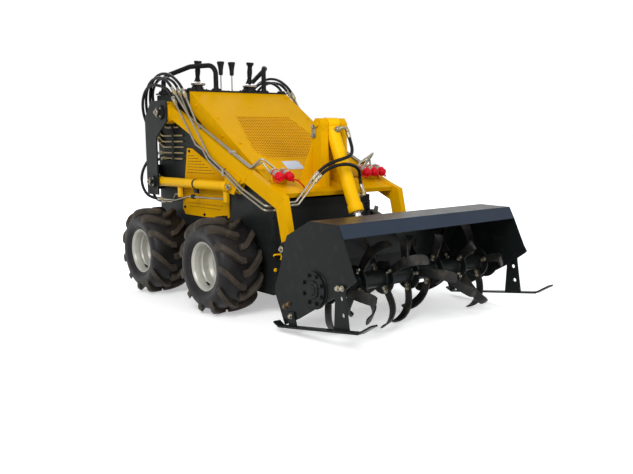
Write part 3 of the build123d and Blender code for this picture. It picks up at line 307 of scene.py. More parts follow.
class Shape:
    """Closed forms in machine millimetres, gathered into one piece."""

    def __init__(self):
        self.verts, self.faces = [], []

    def add(self, verts, faces):
        """Points and faces as they are; the faces count within these points."""
        base = len(self.verts)
        self.verts += [Vector(v) for v in verts]
        self.faces += [tuple(base + i for i in face) for face in faces]

    def lathe(self, at, axis, profile, around=32, turn=0.0, loop=False):
        """Turned form about an axis from a profile of (distance along, radius)."""
        axis = Vector(axis).normalized()
        side, up = unit_frame(axis)
        self.add(*skin([circle(Vector(at) + axis * along, side, up, r, around, turn)
                        for along, r in profile], loop))

    def ring(self, at, axis, profile, around=48):
        """Turned form with a hole, from a closed profile."""
        self.lathe(at, axis, profile, around, loop=True)

    def rod(self, start, end, r, around=24, edge=1.0):
        """Round bar with small chamfers."""
        start, end = Vector(start), Vector(end)
        reach = (end - start).length
        self.lathe(start, end - start, [(0, r - edge), (edge, r), (reach - edge, r),
                                        (reach, r - edge)], around)

    def prism(self, outline, push):
        """A flat outline of 3-D points, pushed along a vector."""
        outline, push = [Vector(v) for v in outline], Vector(push)
        self.add(*skin([outline, [v + push for v in outline]]))

    def plate(self, outline, y_low, y_high):
        """An upright plate from an outline of (x, z)."""
        self.prism([(x, y_low, z) for x, z in outline], across(y_high - y_low))

    def block(self, low, high):
        """A block between two corners."""
        (x0, y0, z0), (x1, y1, z1) = low, high
        self.prism([(x0, y0, z0), (x1, y0, z0), (x1, y1, z0), (x0, y1, z0)], (0, 0, z1 - z0))

    def hexagon(self, at, axis, size, height, turn=0.0):
        """Hexagon nut or bolt head with its chamfer, standing on the point at."""
        r = size / math.sqrt(3)
        self.lathe(at, axis, [(0, r), (height * 0.82, r), (height, r * 0.86)], 6, turn)

    def bolt(self, at, axis, size=19.0, turn=0.3):
        """Hexagon bolt head on its washer."""
        self.lathe(at, axis, [(0, size * 0.75), (size * 0.12, size * 0.75)], 24)
        at = Vector(at) + Vector(axis).normalized() * size * 0.12
        self.hexagon(at, axis, size, size * 0.6, turn)

    def pin_end(self, at, axis, r, height=8.0):
        """Retaining washer of a pin, with a bolt in its middle."""
        self.lathe(at, axis, [(0, r), (height * 0.7, r), (height, r - 2)])
        self.bolt(Vector(at) + Vector(axis).normalized() * height, axis, r * 0.8)

    def bent(self, line, r, around=12):
        """Round wire or pipe along a line, with a closed end at each."""
        self.add(*skin([circle(*at, r, around) for at in frames_along(line)]))

    def wire(self, points, r, around=12, steps=8):
        """Round wire or pipe on a smooth line through points."""
        self.bent(smooth_line(points, steps), r, around)

    def mirrored(self):
        """The same forms on the machine's other side."""
        other = Shape()
        other.verts = [Vector((v.x, -v.y, v.z)) for v in self.verts]
        other.faces = [tuple(reversed(face)) for face in self.faces]
        return other

    def make(self, name, chosen, body, bevel=0.0, smooth=35, at=(0, 0, 0)):
        """The finished object; bevel is in millimetres."""
        mesh = bmesh.new()
        points = [mesh.verts.new(machine(*(v + Vector(at)))) for v in self.verts]
        for face in self.faces:
            mesh.faces.new([points[i] for i in face])
        bmesh.ops.recalc_face_normals(mesh, faces=mesh.faces)
        if bevel:
            sharp = [e for e in mesh.edges if len(e.link_faces) == 2
                     and e.calc_face_angle(0) > math.radians(30)]
            bmesh.ops.bevel(mesh, geom=sharp, offset=bevel / 1000, offset_type="OFFSET",
                            segments=2, profile=0.6, affect="EDGES", clamp_overlap=True)
        data = bpy.data.meshes.new(name)
        mesh.to_mesh(data)
        mesh.free()
        return finish_mesh(show(name, data), chosen, body, smooth)

    def make_bolts(self, name, chosen, body):
        """The finished object, with its flats kept sharp."""
        return self.make(name, chosen, body, smooth=20)

    def make_pair(self, name, chosen, body, **how):
        """The finished object on the machine's right and its twin on the left."""
        return [shape.make(f"{name}_{hand}", chosen, body, **how)
                for hand, shape in (("right", self), ("left", self.mirrored()))]


# ---- camera
CAMERA_AT = (3617, -2707, 999)
CAMERA_TURN = math.radians(38.531)      # towards the machine's left of straight back
CAMERA_DOWN = math.radians(7.702)
CAMERA_ROLL = math.radians(-0.666)
FOCAL_PIXELS, IMAGE_WIDTH = 731.7, 633


def make_camera():
    """The photograph's viewpoint."""
    ahead = Vector((-math.cos(CAMERA_TURN) * math.cos(CAMERA_DOWN),
                    math.sin(CAMERA_TURN) * math.cos(CAMERA_DOWN), -math.sin(CAMERA_DOWN)))
    right = ahead.cross(Vector(UPWARD)).normalized()
    up = right.cross(ahead)
    tilted = right * math.cos(CAMERA_ROLL) + up * math.sin(CAMERA_ROLL)
    data = bpy.data.cameras.new("camera")
    data.sensor_width = 36
    data.lens = FOCAL_PIXELS * data.sensor_width / IMAGE_WIDTH
    data.clip_end = 60
    turn = Matrix((tilted, tilted.cross(ahead), -ahead)).transposed()
    SCENE.camera = show("camera", data)
    SCENE.camera.matrix_world = Matrix.Translation(machine(*CAMERA_AT)) @ turn.to_4x4()


make_camera()

# ---- hoses
HOSE_D = 0.019
BOOM_HOSES = [              # each route from the wall pipes over the pivot to the arm pipes
    [(-981.6, -383, 1122.4), (-1040, -383, 1166), (-1076, -388, 1232), (-1074, -396, 1308),
     (-1030, -403, 1362), (-955, -409, 1398), (-862, -412, 1406), (-775, -413, 1390),
     (-694, -413, 1348.5), (-652.4, -413, 1292.6)],
    [(-1033.6, -383, 1062.4), (-1084, -384, 1102), (-1104, -392, 1180), (-1100, -404, 1266),
     (-1060, -416, 1352), (-985, -424, 1406), (-890, -428, 1431), (-790, -429, 1427),
     (-700, -429, 1399), (-600, -429, 1337.5), (-558.4, -429, 1281.6)],
    [(-1023.6, -383, 1023.4), (-1076, -386, 1064), (-1106, -416, 1138), (-1106, -432, 1225),
     (-1076, -442, 1312), (-1010, -450, 1374), (-925, -455, 1401), (-835, -457, 1404),
     (-755, -458, 1386), (-692.5, -458, 1346.5), (-640.5, -458, 1300.5)],
    [(-1013.6, -383, 986.4), (-1066, -385, 1027), (-1104, -425, 1090), (-1107, -452, 1168),
     (-1090, -466, 1246), (-1040, -474, 1312), (-965, -478, 1351), (-878, -476, 1359),
     (-800, -466, 1345), (-735, -459, 1326), (-685, -458, 1289), (-637.5, -458, 1237.5)],
]
LIFT_HOSES = [              # each route from the wall pipes round to the lift cylinder's pipes
    [(-985.7, -383, 912), (-1040, -385, 911), (-1086, -412, 888), (-1107, -452, 836),
     (-1107, -486, 766), (-1084, -498, 694), (-1035, -490, 630), (-972, -466, 606),
     (-915, -450, 605), (-885.7, -449, 606)],
    [(-950.7, -383, 874), (-1010, -384, 873), (-1060, -398, 856), (-1086, -412, 800),
     (-1088, -420, 732), (-1080, -424, 662), (-1046, -424, 608), (-985, -424, 586),
     (-920, -424, 588), (-885.7, -424, 590)],
]
TILT_HOSES = [              # each route from the arm pipes over the tilt cylinder to its ports
    [(468, -214.5, 783.5), (473, -165, 832), (500, -108, 866), (524, -45, 884), (518, 16, 900),
     (488, 52, 930), (462.5, 62, 972.5), (433.6, 62, 1036.3)],
    [(490, -214.5, 770.5), (498, -165, 820), (528, -104, 850), (556, -40, 856), (566, 16, 838),
     (548, 54, 806), (533.7, 64, 762.4), (562.6, 64, 698.6)],
]
HOSE_SETS = {               # routes, lengths in metres, both ends of the bend across the joint
    "boom": (BOOM_HOSES, (0.71, 0.89, 0.82, 0.84), (-1020, -420, 1180), (-720, -420, 1370)),
    "lift": (LIFT_HOSES, (0.57, 0.535), (-1070, -380, 900), (-1020, -440, 630)),
    "tilt": (TILT_HOSES, (0.445, 0.435), (500, -200, 850), (500, 55, 850)),
}
RIGHT_ONLY = 3              # the boom hose and the wall pipe with no twin on the left
HOSE_NUTS = {}              # body: shape with the union nuts of its hose ends
CRIMP_L = 0.042
CRIMP_SHAPE = [             # (share of the crimp's length from the hose's end, radius in metres)
    (0.0, 0.0075), (0.02, 0.0105), (0.2, 0.0118), (0.24, 0.0128), (0.30, 0.0128), (0.34, 0.0118),
    (0.55, 0.0118), (0.6, 0.0125), (0.66, 0.0118), (0.92, 0.0118), (1.0, 0.0103),
]


def spline_line(route):
    """Points along the route's own NURBS spline, with the route's points as its control points."""
    curve = bpy.data.curves.new("route", "CURVE")
    curve.dimensions = "3D"
    curve.resolution_u = 10
    spline = curve.splines.new("NURBS")
    spline.points.add(len(route) - 1)
    for point, at in zip(spline.points, route):
        point.co = (*at, 1)
    spline.order_u = 3
    spline.use_endpoint_u = True
    obj = show("route", curve)
    bpy.context.view_layer.update()
    mesh = bpy.data.meshes.new_from_object(obj)
    line = [v.co.copy() for v in mesh.vertices]
    bpy.data.objects.remove(obj)
    bpy.data.meshes.remove(mesh)
    return line


def tube_mesh(name, line, radii, around=14):
    """Mesh tube round a line, with a radius for each of its points."""
    verts, faces = skin([circle(*at, r, around) for at, r in zip(frames_along(line), radii)])
    mesh = bpy.data.meshes.new(name)
    mesh.from_pydata(verts, [], faces)
    return show(name, mesh)


def point_along(line, distance):
    """The point at a distance along a line."""
    for a, b in zip(line, line[1:]):
        step = (b - a).length
        if distance <= step:
            return a.lerp(b, distance / step)
        distance -= step


def crimp(name, line, body):
    """The swaged steel sleeve on the start of a line, in rings as the press leaves it."""
    rings = [point_along(line, 0.0005 + share * CRIMP_L) for share, _ in CRIMP_SHAPE]
    return finish_mesh(tube_mesh(name, rings, [r for _, r in CRIMP_SHAPE], 20), ZINC, body)


def make_hose(name, node, route, side, bodies, start, end):
    """One hose as a fixed mesh tube on its spline, with a crimp at each end."""
    start, end, *place = (machine(x, side * y, z) for x, y, z in (start, end, *route))
    line = spline_line(place)
    for mark, tail, body in (("a", line, bodies[0]), ("b", line[::-1], bodies[1])):
        crimp(f"{name}_crimp_{mark}", tail, body)
        nuts = HOSE_NUTS.setdefault(body, Shape())
        at, back = (tail[0] - ORIGIN) * 1000, (tail[0] - tail[1]).normalized()
        nuts.hexagon(at - back * 2, back, 22, 15)
        nuts.hexagon(at + back * 13, back, 17, 13, 0.5)
    obj = finish_mesh(tube_mesh(name, line, [HOSE_D / 2] * len(line)), HOSE, None)
    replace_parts(obj, node)
    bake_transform(obj)


def make_hoses():
    """Every hose, the right side's first, then their twins on the left and the tilt cylinder's."""
    for kind, hand, side, bodies in (
            ("boom", "_right", 1, ("chassis", "arms")),
            ("lift", "_right", 1, ("chassis", "lift_barrel_right")),
            ("boom", "_left", -1, ("chassis", "arms")),
            ("lift", "_left", -1, ("chassis", "lift_barrel_left")),
            ("tilt", "", 1, ("arms", "tilt_barrel"))):
        routes, lengths, start, end = HOSE_SETS[kind]
        for i, (route, length) in enumerate(zip(routes, lengths)):
            if side > 0 or i != RIGHT_ONLY:
                make_hose(f"{kind}_hose{hand}_{i + 1}", f"{kind}_hoses", route, side, bodies,
                          start, end)
    for body, nuts in HOSE_NUTS.items():
        nuts.make_bolts(f"union_nuts_{body}", BRASS, body)


make_hoses()
dress_nodes()

# ---- wheels
LUGS = 11                   # on each half of the tread
CARCASS = [                 # (from the wheel's centre plane, radius), from the bead to the crown
    (107, 131), (111, 145), (114, 150), (119, 154), (122, 160), (126, 163), (131, 172), (134, 184),
    (135, 197), (134, 208), (130, 220), (122, 231), (110, 239), (92, 245), (66, 249), (34, 251),
]
LUG_LINE = [                # (y at the foot, radius there, y at the top, radius there,
                            #  place along the tread, half width), from the nose outwards
    (-9, 247, -8, 276, -61, 15), (-6, 247, -5, 279, -61, 18), (14, 247, 14, 280, -60, 19),
    (26, 247, 26, 280, -54, 18), (42, 247, 42, 280, -41, 18), (60, 245, 60, 279.5, -24, 19),
    (78, 243, 79, 278, -6, 20), (95, 239, 97, 275, 12, 21), (109, 234, 113, 270, 29, 22),
    (119, 227, 124, 261, 42, 23), (126, 218, 132, 248, 52, 24), (129, 208, 134.5, 232, 58, 24),
    (130, 198, 135, 216, 61, 21), (130, 192, 134.5, 200, 62, 15),
]
LUG_SECTION = [             # (share of the way from foot to top, share of the half width)
    (0, 1.22), (0.55, 1.08), (0.86, 1.0), (1, 0.84), (1, -0.84), (0.86, -1.0), (0.55, -1.08),
    (0, -1.22),
]


def tyre_shapes():
    """Tyre about the Y axis through the origin: bulged carcass, and curved chevron lugs."""
    tyre, lugs = Shape(), Shape()
    tyre.ring((0, 0, 0), across(1), CARCASS + [(-y, r) for y, r in reversed(CARCASS)], 132)
    for i in range(LUGS):
        for half, offset in ((1, 0.25), (-1, 0.75)):
            middle = 2 * math.pi * (i + offset) / LUGS
            lugs.add(*skin([[about_y(foot_r + (top_r - foot_r) * lift,
                                     middle + (along + wide * spread) / TYRE_R,
                                     half * (foot_y + (top_y - foot_y) * lift))
                             for lift, spread in LUG_SECTION]
                            for foot_y, foot_r, top_y, top_r, along, wide in LUG_LINE]))
    return tyre, lugs


RIM_SECTION = [             # (from the wheel's centre plane outwards, radius), closed
    (113, 137), (112, 141.5), (109, 143), (106, 141), (105, 134), (103, 129.5), (98, 128),
    (-98, 128), (-105, 134), (-109, 143), (-113, 138), (-109, 127), (-96, 122),
    (-14, 122), (-16, 108), (-12, 96), (-12, 40), (-7, 38), (-7, 62), (-4, 70), (-4, 96),
    (3, 103), (12, 111), (20, 114), (52, 114), (57, 118), (66, 119.5), (82, 119.5),
    (88, 123), (98, 124), (105, 128),
]
RIM_HUB = [                 # (from the wheel's centre plane, radius) of the drive hub
    (-82, 61), (-40, 61), (-12, 58), (-6, 56), (-5, 34), (-1, 32), (0, 30), (0, 18), (-4, 16),
    (-4, 2),
]
WHEEL_NUTS = 5
WHEEL_NUT_RING, VALVE_TURN = 48, math.radians(-102)


def rim_pieces(side):
    """Rim, hub and valve about the Y axis through the origin; side is +1 on the machine's left."""
    rim, hub, valve = Shape(), Shape(), Shape()
    rim.ring((0, 0, 0), across(side), RIM_SECTION, 96)
    hub.lathe((0, 0, 0), across(side), RIM_HUB, 48)
    for i in range(WHEEL_NUTS):
        hub.bolt(about_y(WHEEL_NUT_RING, 2 * math.pi * (i + 0.5) / WHEEL_NUTS, -5 * side),
                 across(side), 21)
    for (r0, y0), (r1, y1), r in (((120, 62), (107, 74), 6), ((108, 73), (98, 84), 4.5)):
        valve.rod(about_y(r0, VALVE_TURN, y0 * side), about_y(r1, VALVE_TURN, y1 * side), r)
    return (("rim", rim, SILVER), ("hub", hub, SILVER), ("valve", valve, PLASTIC))


def make_wheels():
    """The four wheels."""
    tyre, lugs = tyre_shapes()
    for end, x in (("front", 0), ("rear", REAR_AXLE_X)):
        for hand, side in (("right", -1), ("left", 1)):
            at, body = (x, side * WHEEL_Y, AXLE_Z), f"wheel_{end}_{hand}"
            made = tyre.make(f"tyre_{end}_{hand}_carcass", TYRE, body, at=at, smooth=32)
            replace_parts(made, f"tyre_{end}_{hand}")
            lugs.make(f"tyre_{end}_{hand}_lugs", LUG_DUST_AND_HIGHLIGHT, body, at=at, smooth=32)
            for name, shape, chosen in rim_pieces(side):
                made = shape.make(f"{name}_{end}_{hand}_turned", chosen, body, at=at)
                if name == "rim":
                    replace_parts(made, f"rim_{end}_{hand}")


make_wheels()

# ---- rotor
FLANGES, TINES_PER_FLANGE, TINE_STAGGER = 7, 4, 27
FLANGE_INSET, FLANGE_T, TINE_T = 60, 12, 9
GRIND_FROM, GRIND_OVER = 110, 60        # a blade's edge thins from this radius on, over 60 mm
BLADE_BOLTS = (60, 79)
ROTOR_LOW_Y, ROTOR_HIGH_Y = (corner.y for corner in node_box("rotor"))
TINE_LINE = [               # (along the tread, out of the shank's plane, radius, half width)
    (0, 0, 46, 21), (0, 0, 88, 22), (2, 0, 124, 23), (6, 3, 156, 24), (12, 12, 186, 26),
    (20, 28, 213, 28), (29, 50, 234, 29), (38, 72, 245, 28), (44, 88, 248, 24), (48, 96, 249, 17),
]


def tine_rings(side):
    """Rings of one curved blade that stands along +Z: flat bar with a ground leading edge."""
    rings = []
    line = smooth_line([(x, y, r) for x, y, r, _ in TINE_LINE], 3)
    widths = smooth_line([(w, 0, 0) for *_, w in TINE_LINE], 3)
    for i, (point, width) in enumerate(zip(line, widths)):
        ahead = line[min(i + 1, len(line) - 1)] - line[max(i - 1, 0)]
        ahead.x *= 0.4
        ahead.normalize()
        wide = Vector((1, 0, 0))
        wide = (wide - ahead * wide.dot(ahead)).normalized()
        thick = ahead.cross(wide)
        half, w = TINE_T / 2, width.x
        worn = min(1, max(0, (point.z - GRIND_FROM) / GRIND_OVER))
        ground, edge = 2 + 10 * worn, half * (1 - 0.8 * worn)
        section = ((w, edge), (w - ground, half), (-w, half), (-w, -half), (w - ground, -half),
                   (w, -edge))
        rings.append([Vector((p.x, side * p.y, p.z))
                      for p in (point + wide * a + thick * b for a, b in section)])
    return rings


def make_rotor():
    """Tube, flanges, blades and their bolts."""
    reel, blades, bolts = Shape(), Shape(), Shape()
    low, long = ROTOR_LOW_Y, ROTOR_HIGH_Y - ROTOR_LOW_Y
    middle, half = Vector((ROTOR_X, 0, ROTOR_Z)), FLANGE_T / 2
    end = [(0, 24), (0, 43), (2, 45), (16, 45), (18, 52), (34, 52), (36, 45)]
    reel.ring(middle + across(low), across(1), end + [(long - y, r) for y, r in reversed(end)], 56)
    for i in range(FLANGES):
        y = low + FLANGE_INSET + i * (long - 2 * FLANGE_INSET) / (FLANGES - 1)
        reel.ring(middle + across(y), across(1),
                  [(-half, 40), (-half, 86), (-half + 1.5, 88), (half - 1.5, 88), (half, 86),
                   (half, 40)], 56)
        for weld in (-1, 1):
            reel.ring(middle + across(y + weld * half), across(weld),
                      [(-1, 44), (-1, 53), (3, 50), (8, 44.5)], 56)
        for k in range(TINES_PER_FLANGE):
            side = 1 if i == 0 else -1 if i == FLANGES - 1 else (-1) ** k
            turn = Matrix.Rotation(math.radians(360 / TINES_PER_FLANGE * k + i * TINE_STAGGER),
                                   3, "Y")
            shift = middle + across(y + side * (half + TINE_T / 2))
            blades.add(*skin([[shift + turn @ v for v in ring] for ring in tine_rings(side)]))
            for r in BLADE_BOLTS:
                at = middle + turn @ Vector((0, 0, r)) + across(y)
                bolts.bolt(at + across(side * (half + TINE_T)), across(side), 17)
                bolts.rod(at - across(side * half), at - across(side * (half + 14)), 5)
                bolts.hexagon(at - across(side * half), across(-side), 17, 9, 0.7)
    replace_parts(reel.make("rotor_reel", TILLER, "rotor"), "rotor")
    blades.make("rotor_blades", TINE, "rotor", smooth=28)
    bolts.make_bolts("rotor_blade_bolts", ZINC, "rotor")


make_rotor()

# ---- hood and panels
HOOD_LOW, HOOD_HIGH = node_box("hood")
HOOD_KNEE_Z = 767                                   # foot of the sloping face
SLOPE_TOP = Vector((HOOD_LOW.x, 0, HOOD_HIGH.z))
SLOPE_DOWN = Vector((HOOD_HIGH.x - HOOD_LOW.x, 0, HOOD_KNEE_Z - HOOD_HIGH.z)).normalized()
SLOPE_OUT = Vector((-SLOPE_DOWN.z, 0, SLOPE_DOWN.x))
GRILLE = [(300, 205), (700, 300), (790, 250)]       # (down the slope, half width) of the opening
GRILLE_SHADE_EDGE = [(290, 215), (700, 312), (798, 258)]  # the same for the sheet of painted shade behind it
MESH_PITCH, MESH_BAR = 18, 6.5


def on_slope(down, y, out=0.0):
    """A point on the hood's sloping face."""
    return SLOPE_TOP + SLOPE_DOWN * down + SLOPE_OUT * out + across(y)


def slope_block(shape, down, y, out):
    """A block on the slope, between pairs of distances down, across and out of it."""
    shape.prism([on_slope(down[a], y[0], out[b]) for a, b in ((0, 0), (1, 0), (1, 1), (0, 1))],
                across(y[1] - y[0]))


def both_halves(outline):
    """Points on the slope round an outline of (down, half width)."""
    return [(d, h) for d, h in outline] + [(d, -h) for d, h in reversed(outline)]


def between(value, a, b):
    """The second number of a pair where the first is value, on the line from a to b."""
    return a[1] + (b[1] - a[1]) * (value - a[0]) / (b[0] - a[0])


def grille_half(down):
    """Half width of the grille's opening at a distance down the slope."""
    return between(down, *(GRILLE[:2] if down < GRILLE[1][0] else GRILLE[1:]))


def grille_run(y):
    """Where a lengthways bar starts and ends down the slope."""
    top, wide, end = (pair[::-1] for pair in GRILLE)
    return max(top[1], between(abs(y), top, wide)), min(end[1], between(abs(y), end, wide))


def make_grille():
    """Square mesh in the hood's opening, a folded edge round it and a sheet of painted shade
    behind it.
    """
    mesh, edge, shade_sheet = Shape(), Shape(), Shape()
    half = MESH_BAR / 2
    down = GRILLE[0][0] + MESH_PITCH / 2
    while down < GRILLE[2][0]:
        y = grille_half(down)
        slope_block(mesh, (down - half, down + half), (-y, y), (-2.2, 0.2))
        down += MESH_PITCH
    for y in range(MESH_PITCH - GRILLE[1][1], GRILLE[1][1] - 4, MESH_PITCH):
        slope_block(mesh, grille_run(y), (y - half, y + half), (-3.4, -1.0))
    corners = [on_slope(d, y) for d, y in both_halves(GRILLE)]
    for a, b in zip(corners, corners[1:] + corners[:1]):
        inward = (b - a).cross(SLOPE_OUT).normalized()
        edge.prism([a + inward * i + SLOPE_OUT * o
                    for i, o in ((-3, -1), (7, -1), (7, 1.4), (-3, 1.4))], b - a)
    # sheet behind the mesh, coloured as painted shade
    shade_sheet.prism([on_slope(d, y, -16) for d, y in both_halves(GRILLE_SHADE_EDGE)], SLOPE_OUT * 3)
    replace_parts(mesh.make("grille_mesh", MESH_YELLOW, "chassis"), "front_grille")
    edge.make("grille_edge", YELLOW, "chassis")
    shade_sheet.make("grille_shade_sheet", GRILLE_SHADE, "chassis")


PANEL_ROWS = [              # (height, x of the first slot, x that the row stays behind)
    (900, -628, -520), (882, -630, -478), (864, -633, -435), (846, -637, -392), (828, -640, -350),
    (810, -643, -307), (792, -646, -264), (596, -650, -208), (574, -640, -216),
]
SLOT_L, SLOT_PITCH = 36, 44
PANEL_BOLTS = [(-612, 925), (-690, 560), (-170, 742), (-178, 530), (-440, 526)]


def make_louvres():
    """Rows of pressed louvres in both side panels, painted shade in their openings, and the
    panels' bolts.
    """
    lips, slot_shade, bolts = Shape(), Shape(), Shape()
    for z, start, stop in PANEL_ROWS:
        for x in range(start, stop - SLOT_L, SLOT_PITCH):
            # near black block in each louvre's opening: painted shade
            slot_shade.block((x, PANEL_FACE - 0.8, z - 5), (x + SLOT_L, PANEL_FACE + 0.5, z - 1))
            lips.prism([(x - 2, PANEL_FACE + out, z + up) for out, up in
                        ((0.3, -1), (-5, -2.5), (-5.6, -1.2), (0.3, 7))], (SLOT_L + 4, 0, 0))
    for x, z in PANEL_BOLTS:
        bolts.bolt((x, PANEL_FACE, z), TO_RIGHT, 13)
    lips.make_pair("louvres", YELLOW, "chassis")
    slot_shade.make_pair("louvre_slot_shade", PAINTED_SHADE, "chassis")
    bolts.make_pair("panel_bolts", CHARCOAL, "chassis", smooth=20)


def make_hood_trim():
    """Folded edges, bolts and a bare plate on the hood."""
    trim, bolts, bare, rivets = Shape(), Shape(), Shape(), Shape()
    for side in (-1, 1):
        y = side * HOOD_HIGH.y
        trim.wire([on_slope(down, y - side * 16, 0.2) for down in (30, 960)], 1.6, 8, 4)
        for down in (60, 330, 620, 900):
            bolts.bolt(on_slope(down, y - side * 34), SLOPE_OUT, 13)
        for down in (120, 480, 820):
            bolts.bolt(on_slope(down, y, -34), across(side), 13)
    trim.make("hood_folds", YELLOW, "chassis")
    bolts.make_bolts("hood_bolts", YELLOW, "chassis")
    slope_block(bare, (820, 905), (-172, -52), (0, 2.5))
    bare.make("bare_plate", BLANK, "chassis", bevel=0.8)
    for down in (827, 898):
        for y in (-165, -59):
            rivets.lathe(on_slope(down, y, 2.5), SLOPE_OUT, [(0, 3.4), (1.2, 3), (2, 1.4)], 12)
    rivets.make("bare_plate_rivets", ZINC, "chassis")


# ---- boom
PIVOT, LIFT_PIN, LIFT_EYE, FOOT, TILT_PIN, TILT_EYE = (Vector((x, 0, z)) for x, z in (
    (-816, 1177), (-958, 720), (-11, 724), (520, 420), (358, 1078), (606, 530)))
TILT_AHEAD = (TILT_EYE - TILT_PIN).normalized()
ARM_OUT = -ARM_FACE - 20                            # the beam's outer face
TOWER_FACE = node_box("tower_right")[0].y           # ends of the tower's pins
LOCK_ENDS, LOCK_HALF, LOCK_FACE = ((330, 1062), (328, 1014)), 17, -102
WELDS = [                   # seams on an arm's outer face, as (x, z) runs
    [(400, 726), (398, 690), (394, 645)],
    [(496, 692), (462, 660), (430, 627)],
    [(122, 755), (150, 790), (150, 832)],
]


def make_pins():
    """Washers and bolts on the ends of all pins, and the tilt pin's lock plate."""
    tower, arm, hitch, ends, lock, clevis = (Shape() for _ in range(6))
    for at, r, spread in ((PIVOT, 21, 36), (LIFT_PIN, 17, 31)):
        tower.pin_end(at + across(TOWER_FACE), TO_RIGHT, r)
        for k in range(4):
            tower.bolt(at + about_y(spread, math.radians(45 + 90 * k), TOWER_FACE + 16),
                       TO_RIGHT, 10)
    arm.pin_end(LIFT_EYE + across(ARM_FACE), TO_RIGHT, 19, 7)
    hitch.pin_end(FOOT + across(node_box("hitch_frame")[0].y), TO_RIGHT, 18, 6)
    for shape, name, body in ((tower, "tower_pin_ends", "chassis"), (arm, "lift_eye_pin", "arms"),
                              (hitch, "foot_pin", "tiller")):
        shape.make_pair(name, ZINC, body, smooth=20)
    half_turn = [math.pi * k / 8 for k in range(9)]
    lock.plate([(x + end * math.cos(t), z + end * math.sin(t))
                for (x, z), end in zip(LOCK_ENDS, (LOCK_HALF, -LOCK_HALF)) for t in half_turn],
               LOCK_FACE, LOCK_FACE + 6)
    lock.make("lock_plate", ZINC, "arms", bevel=1.2)
    ends.pin_end(TILT_PIN + across(108), across(1), 15, 6)
    for x, z in LOCK_ENDS:
        ends.bolt((x, LOCK_FACE, z), TO_RIGHT, 19)
    ends.make_bolts("tilt_pin_ends", ZINC, "arms")
    for side in (-1, 1):
        clevis.pin_end(TILT_EYE + across(side * 54), across(side), 15, 6)
    clevis.make_bolts("clevis_pin_ends", ZINC, "tiller")


def make_arm_details():
    """Weld seams and boss rings of both arms, and the cross-member's seams."""
    seams, cross = Shape(), Shape()
    for run in WELDS:
        seams.wire([(x, 0.5 - ARM_OUT, z) for x, z in run], 2.6, 10, 10)
    seams.ring(PIVOT - across(ARM_OUT), TO_RIGHT, [(-1, 70), (-1, 77), (2, 76), (6, 71)], 64)
    seams.ring(FOOT - across(ARM_OUT), TO_RIGHT,
               [(-2, 36), (-2, 44), (2.5, 44), (3.5, 42.5), (3.5, 36)])
    seams.make_pair("arm_seams", YELLOW, "arms")
    for y in (-384, 384, -186, 186):
        cross.wire([(322, y, 757), (400, y, 725), (448, y, 706)], 2.6, 10)
    cross.make("cross_member_seams", YELLOW, "arms")


LIFT_MOUTH, LIFT_BAND, TILT_MOUTH = 70, 500, 62     # from the eye, from the pin, from the eye


def make_cylinder_details():
    """Glands, bands, wiper rings and rod collars of the three cylinders."""
    for hand, side in (("right", -1), ("left", 1)):
        gland, band, nipple, collar = (Shape() for _ in range(4))
        barrel, y = f"lift_barrel_{hand}", side * (ARM_OUT - 19)
        start, end = LIFT_PIN + across(y), LIFT_EYE + across(y)
        ahead = (end - start).normalized()
        gland.ring(end - ahead * (LIFT_MOUTH + 34), ahead,
                   [(0, 29), (0, 33), (2, 34), (30, 34), (33, 32), (36, 29), (36, 17), (20, 17),
                    (20, 29)])
        gland.ring(start + ahead * 26, ahead,
                   [(0, 26), (0, 31), (3, 33), (10, 33), (13, 30.6), (13, 26)])
        gland.make(f"lift_gland_{hand}", LIT_CYLINDER_YELLOW, barrel)
        middle = start + ahead * LIFT_BAND
        band.ring(middle, ahead, [(-9, 29), (-9, 32), (-7, 32.6), (7, 32.6), (9, 32), (9, 29)])
        for out, x_half, y_half, low, high in ((0, 21, 9, 58, 33), (25 * side, 18, 8, 92, 66)):
            band.block(middle + Vector((-x_half, out - y_half, -low)),
                       middle + Vector((x_half, out + y_half, -high)))
        band.make(f"lift_band_{hand}", PLASTIC, barrel, bevel=1.5)
        nipple.rod(start + Vector((0, 0, 33)), start + Vector((0, 0, 44)), 5, 12)
        nipple.hexagon(start + Vector((0, 0, 44)), UPWARD, 9, 5)
        nipple.make_bolts(f"lift_nipple_{hand}", BRASS, barrel)
        collar.ring(end - ahead * 56, ahead,
                    [(0, 15), (0, 19), (2, 21), (20, 23), (27, 23), (29, 21), (29, 15)], 36)
        for edge in (-1, 1):
            collar.ring(end + across(edge * 15), across(edge),
                        [(-6, 26), (-6, 29.5), (-1, 29.5), (0, 28), (0, 18), (-6, 18)], 40)
        collar.make(f"lift_rod_collar_{hand}", ZINC, f"lift_rod_{hand}")
    gland, wiper, ring, collar = (Shape() for _ in range(4))
    mouth = TILT_EYE - TILT_AHEAD * TILT_MOUTH
    gland.ring(mouth - TILT_AHEAD * 44, TILT_AHEAD,
               [(0, 38), (0, 42), (2, 43.4), (38, 43.4), (41, 42), (44, 39), (44, 34), (30, 34),
                (30, 38)], 56)
    gland.ring(TILT_PIN + TILT_AHEAD * 30, TILT_AHEAD,
               [(0, 34), (0, 40), (3, 42), (12, 42), (15, 39.6), (15, 34)], 56)
    wiper.ring(mouth, TILT_AHEAD, [(-4, 20.6), (-4, 34), (1, 34), (3, 32), (3, 20.6)])
    ring.ring(mouth, TILT_AHEAD, [(2.5, 20.4), (2.5, 29), (6, 29), (8, 26), (8, 20.4)])
    collar.ring(TILT_EYE - TILT_AHEAD * 35, TILT_AHEAD,
                [(0, 19), (0, 23), (2, 25), (8, 27), (12, 27), (12, 19)], 40)
    gland.make("tilt_gland", LIT_CYLINDER_YELLOW, "tilt_barrel")
    wiper.make("tilt_wiper", WINE, "tilt_barrel")
    ring.make("tilt_wiper_ring", ZINC, "tilt_barrel")
    collar.make("tilt_rod_collar", ZINC, "tilt_rod")


